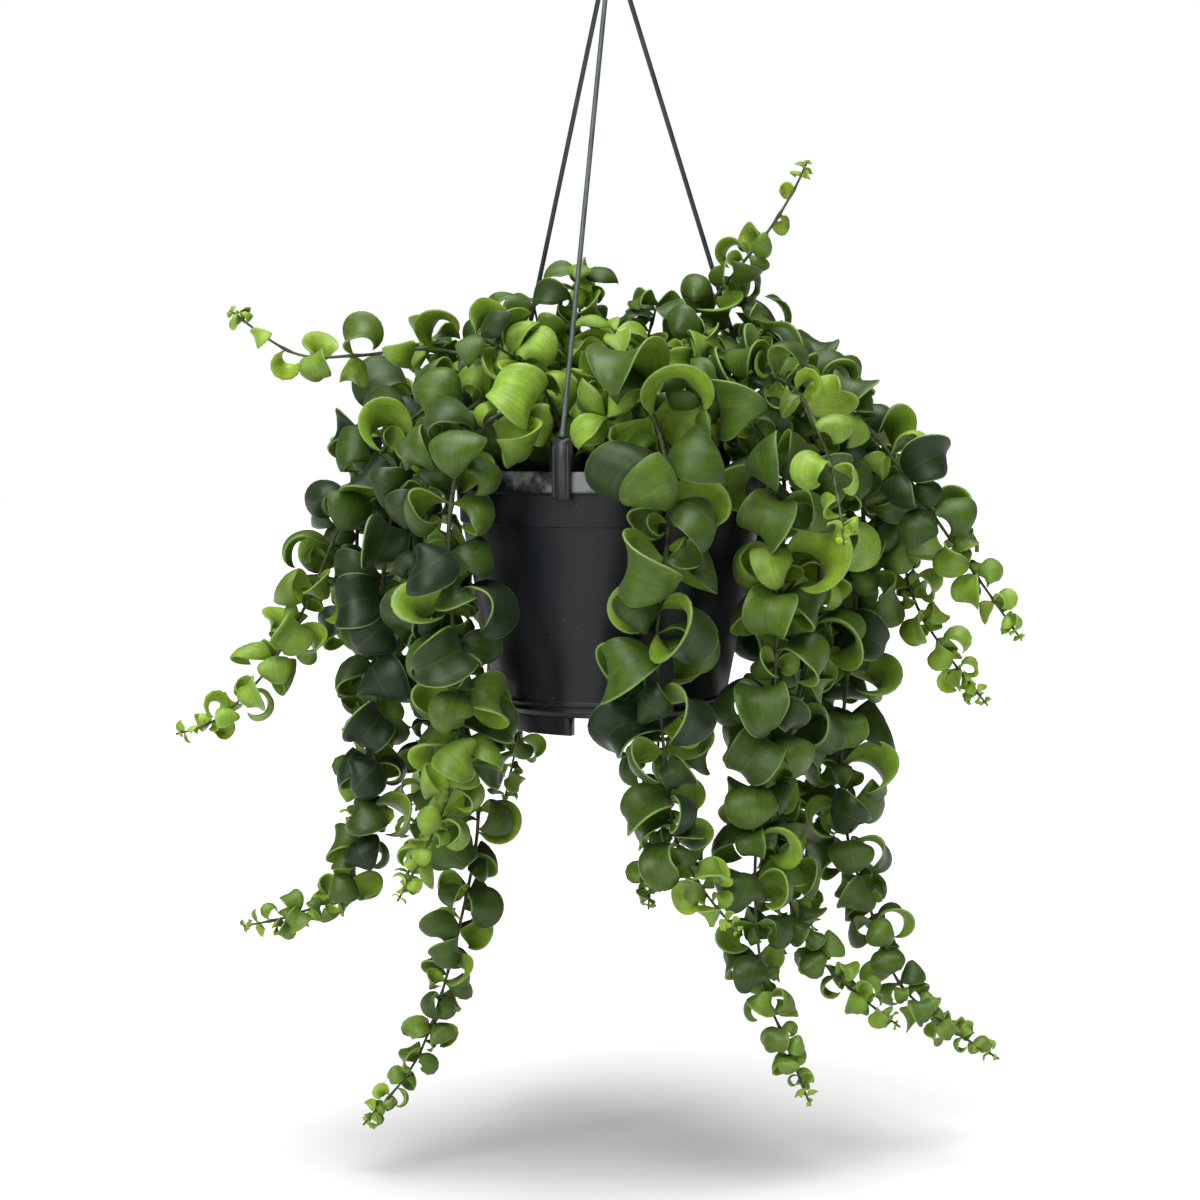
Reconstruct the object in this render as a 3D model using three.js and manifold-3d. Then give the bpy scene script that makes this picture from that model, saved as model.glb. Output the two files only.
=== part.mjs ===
// Trailing lipstick plant with thick curled leaves, in a black nursery pot that hangs from
// a moulded hook by three strands. Units are millimetres, +Z is up and -Y is the front.
// The origin is the point under the hook's crown that bears on the rail.
import * as THREE from "three";
import { mergeVertices } from "three/addons/utils/BufferGeometryUtils.js";
import Module from "manifold-3d";

const wasm = await Module();
wasm.setup();

// Driving dimensions of the pot, measured from the top of its rim downwards
const RIM_RADIUS = 75;
const RIM_BAND_HEIGHT = 10;
const COLLAR_RADIUS = 72;
const COLLAR_BOTTOM = -25;
const BODY_TOP_RADIUS = 70.6;
const BODY_BOTTOM_RADIUS = 55.4;
const RIDGE_TOP = -106;
const RIDGE_PITCH = 3.4;
const RIDGE_DEPTH = 1.2;
const FOOT_RADIUS = 50.5;
const FOOT_WIDTH = 5;
const FOOT_TOP = -113.5;
const POT_HEIGHT = 122;
const WALL = 2.2;
const FLOOR_TOP = -110.5;
const POT_SIDES = 30;
const FOOT_GAPS = 3;
const FOOT_GAP_WIDTH = 26;
const FOOT_GAP_TURN = -0.12;
const FOOT_GAP_TOP = -116.5;
const FOOT_CUT = 20;
const DRAIN_HOLES = 5;
const DRAIN_RADIUS = 4;
const DRAIN_CIRCLE = 30;
const DRILL_MARGIN = 5;

// Soil and the plain holes that the stems stand in
const SOIL_TOP = -9;
const SOIL_EDGE = -12;
const SOIL_FLAT_RADIUS = 62;
const STEM_HOLE_RADIUS = 2.7;
const STEM_FOOT = -30;
const GAP = 0.3;

// Hanger
const HOOK_BEARING = 280;
const HOOK_WIRE_RADIUS = 2.3;
const HOOK_RING_RADIUS = 13.3;
const HOOK_RING_FROM = -90;
const HOOK_RING_TO = 205;
const HOOK_RING_STEPS = 11;
const HOOK_SIDES = 8;
const BOSS_BOTTOM = 240;
const BOSS_TOP = 252;
const BOSS_RADIUS = 6.5;
const STRAND_RADIUS = 1.25;
const STRAND_TOP_CIRCLE = 2.4;
const CLIP_WIDTH = 8.6;
const CLIP_TOP = 15;
const CLIP_REACH = 76.4;
const CLIP_ANGLES = [-17, 103, -137];
const STRAND_SAMPLES = 120;
const CLIP_ROOM_BOTTOM = -14;
const CLIP_ROOM_DEPTHS = [-7, -4, 0, 3];
const CLIP_ROOM_SPREADS = [-3.5, 0, 3.5];

// Leafy stems
const STEM_RADIUS = 1.7;
const STEM_TIP_RADIUS = 0.9;
const LEAF_THICKNESS = 1.6;
const LARGE_LEAF = 24;
const LARGE_LEAF_PITCH = 22;
const SMALL_LEAF_PITCH = 9;
const CLEARANCE = 3.8;
const OWN_CLEARANCE = 3.2;
const OWN_SHARE = 0.16;
const STALK_SHARE = 0.1;
const TIP_LEAF_SHARE = 0.28;
const LOWEST_LEAF = 9;
const ROOT_HEIGHT = 1.3;
const TIP_MARGIN = 5;
const SMALLEST_LEAF = 10;
const FULL_LEAF = 44;
const FIRST_SECTION = 30;

// Blades: where along the midrib their sections are, by how many sections a length gets
const BLADE_SHARES = { 3: [0.2, 0.46, 0.72], 2: [0.3, 0.65], 1: [0.5] };
const LONG_BLADE = 38;
const SHORT_BLADE = 14;
const FULL_THICKNESS_LENGTH = 30;
const MIDRIB_STEPS = 40;

// Places where a leaf is tested for room: along its midrib and across its width
const MIDRIB_SAMPLES = [0.15, 0.25, 0.35, 0.45, 0.55, 0.65, 0.75, 0.85, 0.95, 1];
const ACROSS_SAMPLES = [-1, -0.5, 0, 0.5, 1];
const ROOT_SAMPLES = 2;
const ROOM_CELL = 6;
const FOLD_SAMPLES = [...BLADE_SHARES[3], 1];
const LEAST_RUN = 0.1;
const POT_CLEARANCE = 3;
const WALL_CLEARANCE = 4;

// Turn in degrees, scale and share of the curl that a leaf may take to find room
const TRIES = [[0, 1, 1], [22, 1, 1], [-22, 1, 1], [0, 1, 0.85], [45, 1, 0.9], [-45, 1, 0.9],
  [70, 0.95, 0.9], [-70, 0.95, 0.9], [0, 0.85, 0.9], [35, 0.85, 1.1], [-35, 0.85, 1.1],
  [90, 0.8, 0.85], [-90, 0.8, 0.85], [0, 0.7, 1], [45, 0.7, 1.1], [-45, 0.7, 1.1]];

// Each route is a list of points from the foot in the soil to the growing tip, measured from
// the middle of the rim's top. leaf is the length of the full-grown leaves on that stem.
const ROUTES = [
  { name: "crown_peak", leaf: 42, pitch: 16,
    points: [[-11, 4, -30], [-12, 4, 20], [-15, 6, 60], [-14, 6, 94]] },
  { name: "crown_peak_left", leaf: 40, pitch: 16,
    points: [[-18, -13, -30], [-20, -13, 18], [-31, -8, 54], [-37, -4, 80]] },
  { name: "crown_front", leaf: 44, pitch: 16,
    points: [[0, -30, -30], [-1, -32, 20], [-2, -38, 44], [2, -44, 64]] },
  { name: "crown_front_left", leaf: 46, pitch: 16,
    points: [[-20, -33, -30], [-22, -35, 14], [-36, -44, 44], [-62, -54, 62]] },
  { name: "crown_left", leaf: 44, pitch: 17,
    points: [[-42, 4, -30], [-44, 4, 18], [-66, 10, 40], [-90, 14, 60]] },
  { name: "crown_back_left", leaf: 44, pitch: 16,
    points: [[-26, 18, -30], [-28, 20, 20], [-42, 22, 50], [-60, 26, 68]] },
  { name: "crown_middle", leaf: 44, pitch: 16,
    points: [[5, -4, -30], [6, -4, 20], [14, -6, 50], [22, -8, 78]] },
  { name: "crown_front_right", leaf: 44, pitch: 16,
    points: [[18, -25, -30], [19, -26, 20], [28, -31, 44], [44, -35, 64]] },
  { name: "crown_right", leaf: 44, pitch: 17,
    points: [[36, -8, -30], [38, -9, 20], [54, -13, 48], [74, -13, 66]] },
  { name: "crown_far_right", leaf: 44, pitch: 17,
    points: [[38, 20, -30], [40, 22, 20], [56, 32, 50], [86, 36, 66]] },
  { name: "crown_back", leaf: 44, pitch: 16,
    points: [[4, 26, -30], [4, 28, 20], [2, 38, 50], [-4, 50, 68]] },
  { name: "crown_back_right", leaf: 44, pitch: 16,
    points: [[26, 38, -30], [27, 40, 20], [38, 50, 46], [52, 60, 60]] },
  { name: "crown_rear", leaf: 44, pitch: 16,
    points: [[-18, 38, -30], [-20, 40, 20], [-26, 52, 46], [-32, 66, 58]] },
  { name: "crown_rim_left", leaf: 40, pitch: 16,
    points: [[-7, -44, -30], [-8, -46, 8], [-5, -62, 26], [-2, -82, 24]] },
  { name: "crown_rim_right", leaf: 40, pitch: 16,
    points: [[24, -44, -30], [25, -46, 8], [33, -64, 28], [42, -80, 30]] },
  { name: "vine_front", leaf: 57,
    points: [[10, -52, -30], [10, -54, 10], [12, -70, 30], [20, -88, 20], [25, -94, -8],
      [23, -91, -45], [20, -86, -80], [24, -80, -130], [29, -79, -165], [42, -82, -188],
      [57, -90, -205]] },
  { name: "vine_front_left", leaf: 48,
    points: [[-26, -46, -30], [-29, -48, 12], [-42, -61, 28], [-64, -77, 12], [-72, -81, -22],
      [-71, -78, -65], [-68, -76, -108], [-71, -76, -138], [-83, -78, -168],
      [-96, -82, -192]] },
  { name: "vine_front_right", leaf: 48,
    points: [[34, -38, -30], [36, -41, 12], [50, -54, 30], [68, -66, 14], [76, -68, -20],
      [75, -64, -75], [70, -56, -135], [66, -52, -185], [70, -52, -235], [80, -54, -262],
      [92, -54, -293]] },
  { name: "vine_dark_left", leaf: 46,
    points: [[-42, -28, -30], [-45, -28, 14], [-64, -30, 32], [-91, -38, 14],
      [-103, -36, -30], [-108, -34, -90], [-112, -34, -155], [-124, -34, -193],
      [-146, -34, -207], [-172, -34, -213]] },
  { name: "vine_outer_left", leaf: 44,
    points: [[-46, -13, -30], [-49, -14, 16], [-74, -18, 34], [-102, -18, 14],
      [-124, -20, -20], [-142, -22, -62], [-162, -24, -95], [-185, -24, -117],
      [-204, -24, -124]] },
  { name: "vine_long_left", leaf: 42,
    points: [[-34, -20, -30], [-36, -21, 14], [-54, -46, 34], [-80, -60, 8], [-84, -56, -24],
      [-82, -52, -60], [-73, -44, -100], [-64, -38, -130], [-62, -37, -165], [-69, -38, -205],
      [-81, -40, -250], [-94, -40, -280], [-116, -40, -306]] },
  { name: "vine_right", leaf: 46,
    points: [[48, -18, -30], [50, -20, 14], [70, -28, 34], [92, -36, 16], [98, -38, -20],
      [95, -36, -60], [86, -33, -110], [77, -31, -155], [81, -30, -195], [99, -30, -230],
      [118, -30, -248], [136, -30, -262]] },
  { name: "vine_long_right", leaf: 44,
    points: [[54, -3, -30], [57, -3, 18], [82, -4, 40], [110, -7, 20], [119, -8, -20],
      [116, -5, -65], [110, -4, -130], [113, -4, -175], [124, -4, -210], [138, -4, -246],
      [162, -4, -268], [187, -4, -284]] },
  { name: "vine_back_right", leaf: 46,
    points: [[56, 24, -30], [58, 26, 20], [84, 33, 38], [108, 38, 18], [113, 39, -20],
      [108, 36, -80], [100, 33, -150], [96, 30, -200], [100, 30, -230]] },
  { name: "vine_spread_right", leaf: 44,
    points: [[58, -13, -30], [61, -13, 18], [84, -19, 38], [112, -26, 26], [136, -28, -2],
      [156, -26, -30], [175, -24, -56], [192, -24, -80]] },
  { name: "vine_outer_right", leaf: 42,
    points: [[56, 7, -30], [58, 7, 20], [82, 10, 40], [112, 14, 26], [133, 11, -14],
      [145, 8, -62], [162, 6, -90], [181, 6, -114]] },
  { name: "shoot_upper_right", leaf: 35,
    points: [[24, 8, -30], [26, 8, 14], [33, 4, 44], [42, 2, 70], [60, -3, 94], [75, -5, 113],
      [86, -5, 131], [92, -5, 144]] },
  { name: "shoot_upper_left", leaf: 37,
    points: [[-28, -5, -30], [-30, -5, 16], [-52, -4, 46], [-85, -8, 56], [-118, -13, 53],
      [-148, -15, 54], [-178, -15, 74]] },
  { name: "shoot_front_right", leaf: 40,
    points: [[44, -31, -30], [46, -34, 14], [61, -50, 42], [80, -74, 38], [93, -94, 12],
      [98, -110, -14], [99, -122, -30]] },
  { name: "vine_rear_right", leaf: 46, pitch: 29,
    points: [[42, 32, -30], [44, 34, 14], [62, 54, 32], [82, 70, 16], [88, 74, -20],
      [84, 70, -90], [84, 72, -160], [96, 82, -210]] },
  { name: "vine_rear_middle", leaf: 46, pitch: 29,
    points: [[12, 50, -30], [12, 52, 14], [18, 74, 30], [28, 96, 14], [32, 102, -20],
      [28, 96, -90], [24, 94, -160], [20, 100, -232]] },
  { name: "vine_rear_left", leaf: 46, pitch: 29,
    points: [[-22, 52, -30], [-23, 54, 14], [-33, 76, 28], [-44, 94, 14], [-48, 99, -20],
      [-44, 92, -80], [-46, 92, -130], [-56, 100, -180]] },
  { name: "vine_far_left", leaf: 46, pitch: 29,
    points: [[-44, 30, -30], [-46, 31, 14], [-66, 44, 34], [-88, 58, 16], [-96, 62, -16],
      [-92, 60, -80], [-92, 60, -150], [-104, 68, -214]] },
  { name: "vine_left_side", leaf: 44, pitch: 29,
    points: [[-54, 14, -30], [-56, 15, 16], [-82, 24, 36], [-110, 26, 18], [-122, 24, -20],
      [-122, 20, -80], [-118, 18, -130], [-128, 22, -178]] },
];

// Vector helpers
const UP = new THREE.Vector3(0, 0, 1);

function vector(point) {
  return new THREE.Vector3(...point);
}

function mix(a, b, share) {
  return a + (b - a) * share;
}

function clamp(value, low, high) {
  return Math.min(high, Math.max(low, value));
}

// Random numbers that repeat exactly from one run to the next
class SeededRandom {
  constructor(seed) {
    this.state = seed;
  }

  next() {
    this.state = (this.state * 16807) % 2147483647;
    return this.state / 2147483647;
  }

  between(low, high) {
    return low + (high - low) * this.next();
  }
}

// A smooth curve through the points of a route, measured by distance along it
class Route {
  constructor(points) {
    const steps = 12;
    this.line = [];
    const last = points.length - 1;
    for (let span = 0; span < last; span += 1) {
      const [a, b, c, d] = [span - 1, span, span + 1, span + 2].map(
        (index) => vector(points[clamp(index, 0, last)]));
      for (let step = 0; step < steps; step += 1) {
        this.line.push(catmullRom(a, b, c, d, step / steps));
      }
    }
    this.line.push(vector(points[last]));
    this.marks = [0];
    for (let index = 1; index < this.line.length; index += 1) {
      const piece = this.line[index].distanceTo(this.line[index - 1]);
      this.marks.push(this.marks[index - 1] + piece);
    }
    this.length = this.marks[this.marks.length - 1];
  }

  at(distance) {
    const target = clamp(distance, 0, this.length);
    let index = 1;
    while (index < this.marks.length - 1 && this.marks[index] < target) {
      index += 1;
    }
    const span = this.marks[index] - this.marks[index - 1];
    const share = (target - this.marks[index - 1]) / span;
    return this.line[index - 1].clone().lerp(this.line[index], share);
  }

  direction(distance) {
    return this.at(distance + 1.5).sub(this.at(distance - 1.5)).normalize();
  }
}

function catmullRom(a, b, c, d, t) {
  const part = (key) => 0.5 * (2 * b[key] + (c[key] - a[key]) * t
    + (2 * a[key] - 5 * b[key] + 4 * c[key] - d[key]) * t * t
    + (3 * b[key] - a[key] - 3 * c[key] + d[key]) * t * t * t);
  return new THREE.Vector3(part("x"), part("y"), part("z"));
}

// Where leaf pairs sit along a stem, and how large the leaves are there
function growthAt(route, spec, distance) {
  const share = distance / route.length;
  const fall = clamp((share - 0.55) / 0.45, 0, 1);
  return spec.leaf * mix(1, TIP_LEAF_SHARE, fall ** 1.4);
}

function leafNodes(route, spec) {
  const nodes = [];
  let distance = 0;
  while (route.at(distance).z < LOWEST_LEAF) {
    distance += 2;
  }
  let across = new THREE.Vector3(1, 0, 0);
  while (distance < route.length - TIP_MARGIN) {
    const size = growthAt(route, spec, distance);
    const axes = crossAxes(route, distance, across);
    across = axes.across;
    nodes.push({ distance, size, axes, centre: route.at(distance) });
    const pitch = spec.pitch ?? LARGE_LEAF_PITCH;
    const fullness = clamp((size - SMALLEST_LEAF) / (FULL_LEAF - SMALLEST_LEAF), 0, 1);
    distance += mix(SMALL_LEAF_PITCH, pitch, fullness);
  }
  return nodes;
}

// The stem's two cross axes at a distance, kept as level with the last ones as they can be
function crossAxes(route, distance, lastAcross) {
  const along = route.direction(distance);
  const across = lastAcross.clone().addScaledVector(along, -lastAcross.dot(along)).normalize();
  return { along, across, other: new THREE.Vector3().crossVectors(along, across) };
}

// The direction that one of the stem's four flats faces, as an angle about the stem
function faceAngle(stem, face) {
  return stem.spin + (face * Math.PI) / 2;
}

function aroundStem(axes, angle) {
  return axes.across.clone().multiplyScalar(Math.cos(angle))
    .addScaledVector(axes.other, Math.sin(angle));
}

// One leaf: a blade whose midrib curls under, placed at a node of its stem
function leafPlan(stem, node, face, random) {
  const outward = aroundStem(node.axes, faceAngle(stem, face));
  const hangs = node.axes.along.z < -0.25 ? -1 : 1;
  const size = node.size * random.between(0.88, 1.08);
  return {
    node,
    face,
    root: node.centre,
    outward,
    upper: node.axes.along.clone().multiplyScalar(hangs),
    length: size,
    width: size * random.between(0.5, 0.6),
    curl: random.between(3.7, 5),
    rise: random.between(0.3, 0.75),
    arch: random.next() < 0.5 ? random.between(0.45, 1) : random.between(-1, -0.4),
    turn: random.between(-1.3, 1.3),
    twist: random.between(-1.1, 1.1),
  };
}

// The blade's axes after its turn about the outward direction, and its initial rise
function leafAxes(plan, extraTurn) {
  const upper = plan.upper.clone().applyAxisAngle(plan.outward, plan.turn + extraTurn);
  const side = new THREE.Vector3().crossVectors(plan.outward, upper).normalize();
  const ahead = plan.outward.clone().applyAxisAngle(side, plan.rise);
  const normal = upper.clone().applyAxisAngle(side, plan.rise);
  return { ahead, normal, side };
}

// Points along the midrib, each with the blade's normal, sideways axis and half width there
function leafStations(plan, axes, shares) {
  const stations = [];
  const point = plan.root.clone();
  let wanted = 0;
  for (let step = 0; step <= MIDRIB_STEPS; step += 1) {
    const share = step / MIDRIB_STEPS;
    const bend = plan.curl * clamp((share - STALK_SHARE) / (1 - STALK_SHARE), 0, 1) ** 1.1;
    const heading = axes.ahead.clone().multiplyScalar(Math.cos(bend))
      .addScaledVector(axes.normal, -Math.sin(bend));
    const normal = axes.normal.clone().multiplyScalar(Math.cos(bend))
      .addScaledVector(axes.ahead, Math.sin(bend));
    if (wanted < shares.length && share >= shares[wanted] - 1e-9) {
      const twist = plan.twist * share;
      stations.push({
        point: point.clone(),
        normal: normal.clone().multiplyScalar(Math.cos(twist))
          .addScaledVector(axes.side, -Math.sin(twist)),
        side: axes.side.clone().multiplyScalar(Math.cos(twist))
          .addScaledVector(normal, Math.sin(twist)),
        half: 0.5 * plan.width * bladeOutline(share),
      });
      wanted += 1;
    }
    point.addScaledVector(heading, plan.length / MIDRIB_STEPS);
  }
  return stations;
}

function bladeOutline(share) {
  return Math.max(0, Math.sin(Math.PI * share ** 1.05)) ** 0.9;
}

// A point across the blade, bent over by its arch; across runs from -1 to 1
function bladePoint(station, arch, across) {
  const bend = Math.abs(arch) * across;
  const spread = station.half * Math.sin(bend) / Math.abs(arch);
  const drop = station.half * (1 - Math.cos(bend)) / arch;
  return station.point.clone().addScaledVector(station.side, spread)
    .addScaledVector(station.normal, -drop);
}

// Room that is already taken, as points in a grid of cells with the stem that owns them
class Room {
  constructor(cell) {
    this.cell = cell;
    this.cells = new Map();
  }

  key(x, y, z) {
    return (x * 2048 + y) * 2048 + z;
  }

  place(value) {
    return Math.floor(value / this.cell) + 1024;
  }

  add(point, owner) {
    const key = this.key(this.place(point.x), this.place(point.y), this.place(point.z));
    if (!this.cells.has(key)) {
      this.cells.set(key, []);
    }
    this.cells.get(key).push({ point, owner });
  }

  isClear(point, owner, distance, ownDistance) {
    const [cx, cy, cz] = [point.x, point.y, point.z].map((value) => this.place(value));
    for (let x = cx - 1; x <= cx + 1; x += 1) {
      for (let y = cy - 1; y <= cy + 1; y += 1) {
        for (let z = cz - 1; z <= cz + 1; z += 1) {
          const taken = this.cells.get(this.key(x, y, z)) ?? [];
          const close = taken.some((other) => other.point.distanceTo(point)
            < (other.owner === owner ? ownDistance : distance));
          if (close) {
            return false;
          }
        }
      }
    }
    return true;
  }
}

// Keeps leaves off the pot's wall, rim and soil
function clearOfPot(point) {
  const radius = Math.hypot(point.x, point.y);
  if (point.z > POT_CLEARANCE || point.z < -POT_HEIGHT - POT_CLEARANCE) {
    return true;
  }
  const depth = (COLLAR_BOTTOM - point.z) / (COLLAR_BOTTOM - RIDGE_TOP);
  const wall = mix(BODY_TOP_RADIUS, BODY_BOTTOM_RADIUS, depth);
  const outside = radius > RIM_RADIUS + POT_CLEARANCE
    || (point.z < COLLAR_BOTTOM - WALL_CLEARANCE && radius > wall + WALL_CLEARANCE);
  const inside = point.z > SOIL_TOP + POT_CLEARANCE && radius < RIM_RADIUS - 3 * POT_CLEARANCE;
  return outside || inside;
}

function leafSamples(plan, axes) {
  const samples = [];
  leafStations(plan, axes, MIDRIB_SAMPLES).forEach((station, index) => {
    for (const across of ACROSS_SAMPLES) {
      const point = bladePoint(station, plan.arch, across);
      samples.push({ point, nearRoot: index < ROOT_SAMPLES });
    }
  });
  return samples;
}

// Whether both edges of a curled blade run on along its midrib, so that it can't fold over
function runsOn(plan, axes) {
  const stations = leafStations(plan, axes, FOLD_SAMPLES);
  return stations.slice(1).every((station, index) => {
    const before = stations[index];
    const stride = station.point.clone().sub(before.point);
    return [-1, 1].every((across) => bladePoint(station, plan.arch, across)
      .sub(bladePoint(before, plan.arch, across)).dot(stride) > LEAST_RUN * stride.lengthSq());
  });
}

// Puts one leaf where it clears everything else, turning or shrinking it where it must
function settleLeaf(plan, owner, room) {
  for (const [degrees, scale, curlShare] of TRIES) {
    const tried = { ...plan, curl: plan.curl * curlShare, length: plan.length * scale,
      width: plan.width * scale };
    const axes = leafAxes(tried, THREE.MathUtils.degToRad(degrees));
    if (!runsOn(tried, axes)) {
      continue;
    }
    const samples = leafSamples(tried, axes);
    const ownClearance = Math.min(OWN_CLEARANCE, OWN_SHARE * tried.length);
    const fits = samples.every(({ point, nearRoot }) => clearOfPot(point)
      && room.isClear(point, owner, CLEARANCE, nearRoot ? 0 : ownClearance));
    if (fits) {
      samples.forEach(({ point }) => room.add(point, owner));
      return { ...tried, axes };
    }
  }
  return null;
}

// Strand and clip places
function clipPoint(angle, radius, height) {
  const turn = THREE.MathUtils.degToRad(angle);
  return new THREE.Vector3(radius * Math.sin(turn), -radius * Math.cos(turn), height);
}

function strandEnds(angle) {
  return [clipPoint(angle, CLIP_REACH - 1, CLIP_TOP + GAP),
    clipPoint(angle, STRAND_TOP_CIRCLE, BOSS_BOTTOM - GAP)];
}

function reserveHanger(room) {
  for (const angle of CLIP_ANGLES) {
    const [low, high] = strandEnds(angle);
    for (let index = 0; index <= STRAND_SAMPLES; index += 1) {
      room.add(low.clone().lerp(high, index / STRAND_SAMPLES), "hanger");
    }
    for (let height = CLIP_ROOM_BOTTOM; height <= CLIP_TOP + 2; height += 2) {
      for (const radius of CLIP_ROOM_DEPTHS.map((depth) => CLIP_REACH + depth)) {
        for (const spread of CLIP_ROOM_SPREADS) {
          room.add(clipPoint(angle + spread, radius, height), "hanger");
        }
      }
    }
  }
}

// Lays out every leafy stem: its route, its nodes and the leaves that fit
function layOutStems() {
  const room = new Room(ROOM_CELL);
  reserveHanger(room);
  const stems = ROUTES.map((spec, index) => {
    const route = new Route(spec.points);
    for (let distance = 0; distance <= route.length; distance += 2) {
      room.add(route.at(distance), spec.name);
    }
    const random = new SeededRandom((1000 + index * 37) * 7919);
    return { spec, route, random, spin: random.between(0, Math.PI), leaves: [] };
  });
  for (const stem of stems) {
    stem.nodes = leafNodes(stem.route, stem.spec);
    stem.nodes.forEach((node, index) => {
      for (const face of index % 2 === 0 ? [0, 2] : [1, 3]) {
        const plan = leafPlan(stem, node, face, stem.random);
        if (node.size >= LARGE_LEAF || face === index % 4) {
          const leaf = settleLeaf(plan, stem.spec.name, room);
          if (leaf) {
            stem.leaves.push(leaf);
          }
        }
      }
    });
  }
  return stems;
}

// Solids
function toManifold(geometry) {
  const bare = geometry.clone();
  bare.deleteAttribute("normal");
  bare.deleteAttribute("uv");
  const merged = mergeVertices(bare, 1e-4);
  return new wasm.Manifold(new wasm.Mesh({
    numProp: 3,
    vertProperties: new Float32Array(merged.attributes.position.array),
    triVerts: new Uint32Array(merged.index.array),
  }));
}

function fromManifold(solid) {
  const mesh = solid.getMesh();
  const geometry = new THREE.BufferGeometry();
  geometry.setAttribute("position", new THREE.BufferAttribute(mesh.vertProperties, 3));
  geometry.setIndex(new THREE.BufferAttribute(mesh.triVerts, 1));
  return geometry;
}

function solidFromRings(rings, startPoint, endPoint) {
  const positions = [];
  const indices = [];
  const count = rings[0].length;
  rings.flat().forEach((point) => positions.push(point.x, point.y, point.z));
  const start = rings.length * count;
  positions.push(startPoint.x, startPoint.y, startPoint.z);
  positions.push(endPoint.x, endPoint.y, endPoint.z);
  const last = (rings.length - 1) * count;
  for (let index = 0; index < count; index += 1) {
    const next = (index + 1) % count;
    indices.push(start, next, index);
    indices.push(start + 1, last + index, last + next);
    for (let ring = 0; ring < rings.length - 1; ring += 1) {
      const [low, high] = [ring * count, (ring + 1) * count];
      if (index % 2 === 0) {
        indices.push(low + index, low + next, high + next);
        indices.push(low + index, high + next, high + index);
      } else {
        indices.push(low + index, low + next, high + index);
        indices.push(low + next, high + next, high + index);
      }
    }
  }
  const geometry = new THREE.BufferGeometry();
  geometry.setAttribute("position", new THREE.Float32BufferAttribute(positions, 3));
  geometry.setIndex(indices);
  return geometry;
}

// A round bar, turned so that its axis runs from one point to the other
function bar(from, to, radius, sides) {
  const length = from.distanceTo(to);
  const geometry = new THREE.CylinderGeometry(radius, radius, length, sides);
  geometry.rotateX(Math.PI / 2);
  geometry.applyQuaternion(new THREE.Quaternion().setFromUnitVectors(
    UP, to.clone().sub(from).normalize()));
  const middle = from.clone().lerp(to, 0.5);
  geometry.translate(middle.x, middle.y, middle.z);
  return geometry;
}

function lathe(profile, sides) {
  const points = profile.map(([radius, height]) => new THREE.Vector2(radius, height));
  const geometry = new THREE.LatheGeometry(points, sides);
  geometry.rotateX(Math.PI / 2);
  return geometry;
}

// A stem is a square tube whose sections come in twos at every leaf pair. A leaf's blade is a
// thin lens with two edges and a crest on each face, and it grows out of the flat between the
// two sections, so that stem and leaves are one skin.
class Skin {
  constructor() {
    this.positions = [];
    this.indices = [];
  }

  point(place) {
    this.positions.push(place.x, place.y, place.z);
    return this.positions.length / 3 - 1;
  }

  ring(places) {
    return places.map((place) => this.point(place));
  }

  flat(low, high, index) {
    const next = (index + 1) % 4;
    const diagonal = index % 2 === 0;
    if (diagonal) {
      this.indices.push(low[index], low[next], high[next], low[index], high[next], high[index]);
    } else {
      this.indices.push(low[index], low[next], high[index], low[next], high[next], high[index]);
    }
  }

  tube(low, high, openFlats = []) {
    for (let index = 0; index < 4; index += 1) {
      if (!openFlats.includes(index)) {
        this.flat(low, high, index);
      }
    }
  }

  cone(ring, place) {
    const tip = this.point(place);
    for (let index = 0; index < 4; index += 1) {
      this.indices.push(ring[index], ring[(index + 1) % 4], tip);
    }
  }

  geometry() {
    const geometry = new THREE.BufferGeometry();
    geometry.setAttribute("position", new THREE.Float32BufferAttribute(this.positions, 3));
    geometry.setIndex(this.indices);
    return geometry;
  }
}

function stemSection(stem, axes, distance) {
  const radius = mix(STEM_RADIUS, STEM_TIP_RADIUS, distance / stem.route.length);
  const centre = stem.route.at(distance);
  return [0, 1, 2, 3].map((corner) => centre.clone()
    .addScaledVector(aroundStem(axes, faceAngle(stem, corner - 0.5)), radius));
}

// The four corners of an open flat, turned so that the first lies nearest the first corner
// of the leaf's own section
function matchCorners(corners, cornerPlaces, section) {
  const middle = cornerPlaces.reduce((sum, place) => sum.add(place), new THREE.Vector3())
    .divideScalar(4);
  const centre = section.reduce((sum, place) => sum.add(place), new THREE.Vector3())
    .divideScalar(4);
  let best = 0;
  let bestFit = -Infinity;
  for (let shift = 0; shift < 4; shift += 1) {
    let fit = 0;
    section.forEach((place, index) => {
      const arm = cornerPlaces[(index + shift) % 4].clone().sub(middle).normalize();
      fit += arm.dot(place.clone().sub(centre).normalize());
    });
    if (fit > bestFit) {
      bestFit = fit;
      best = shift;
    }
  }
  return [0, 1, 2, 3].map((index) => corners[(index + best) % 4]);
}

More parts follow.
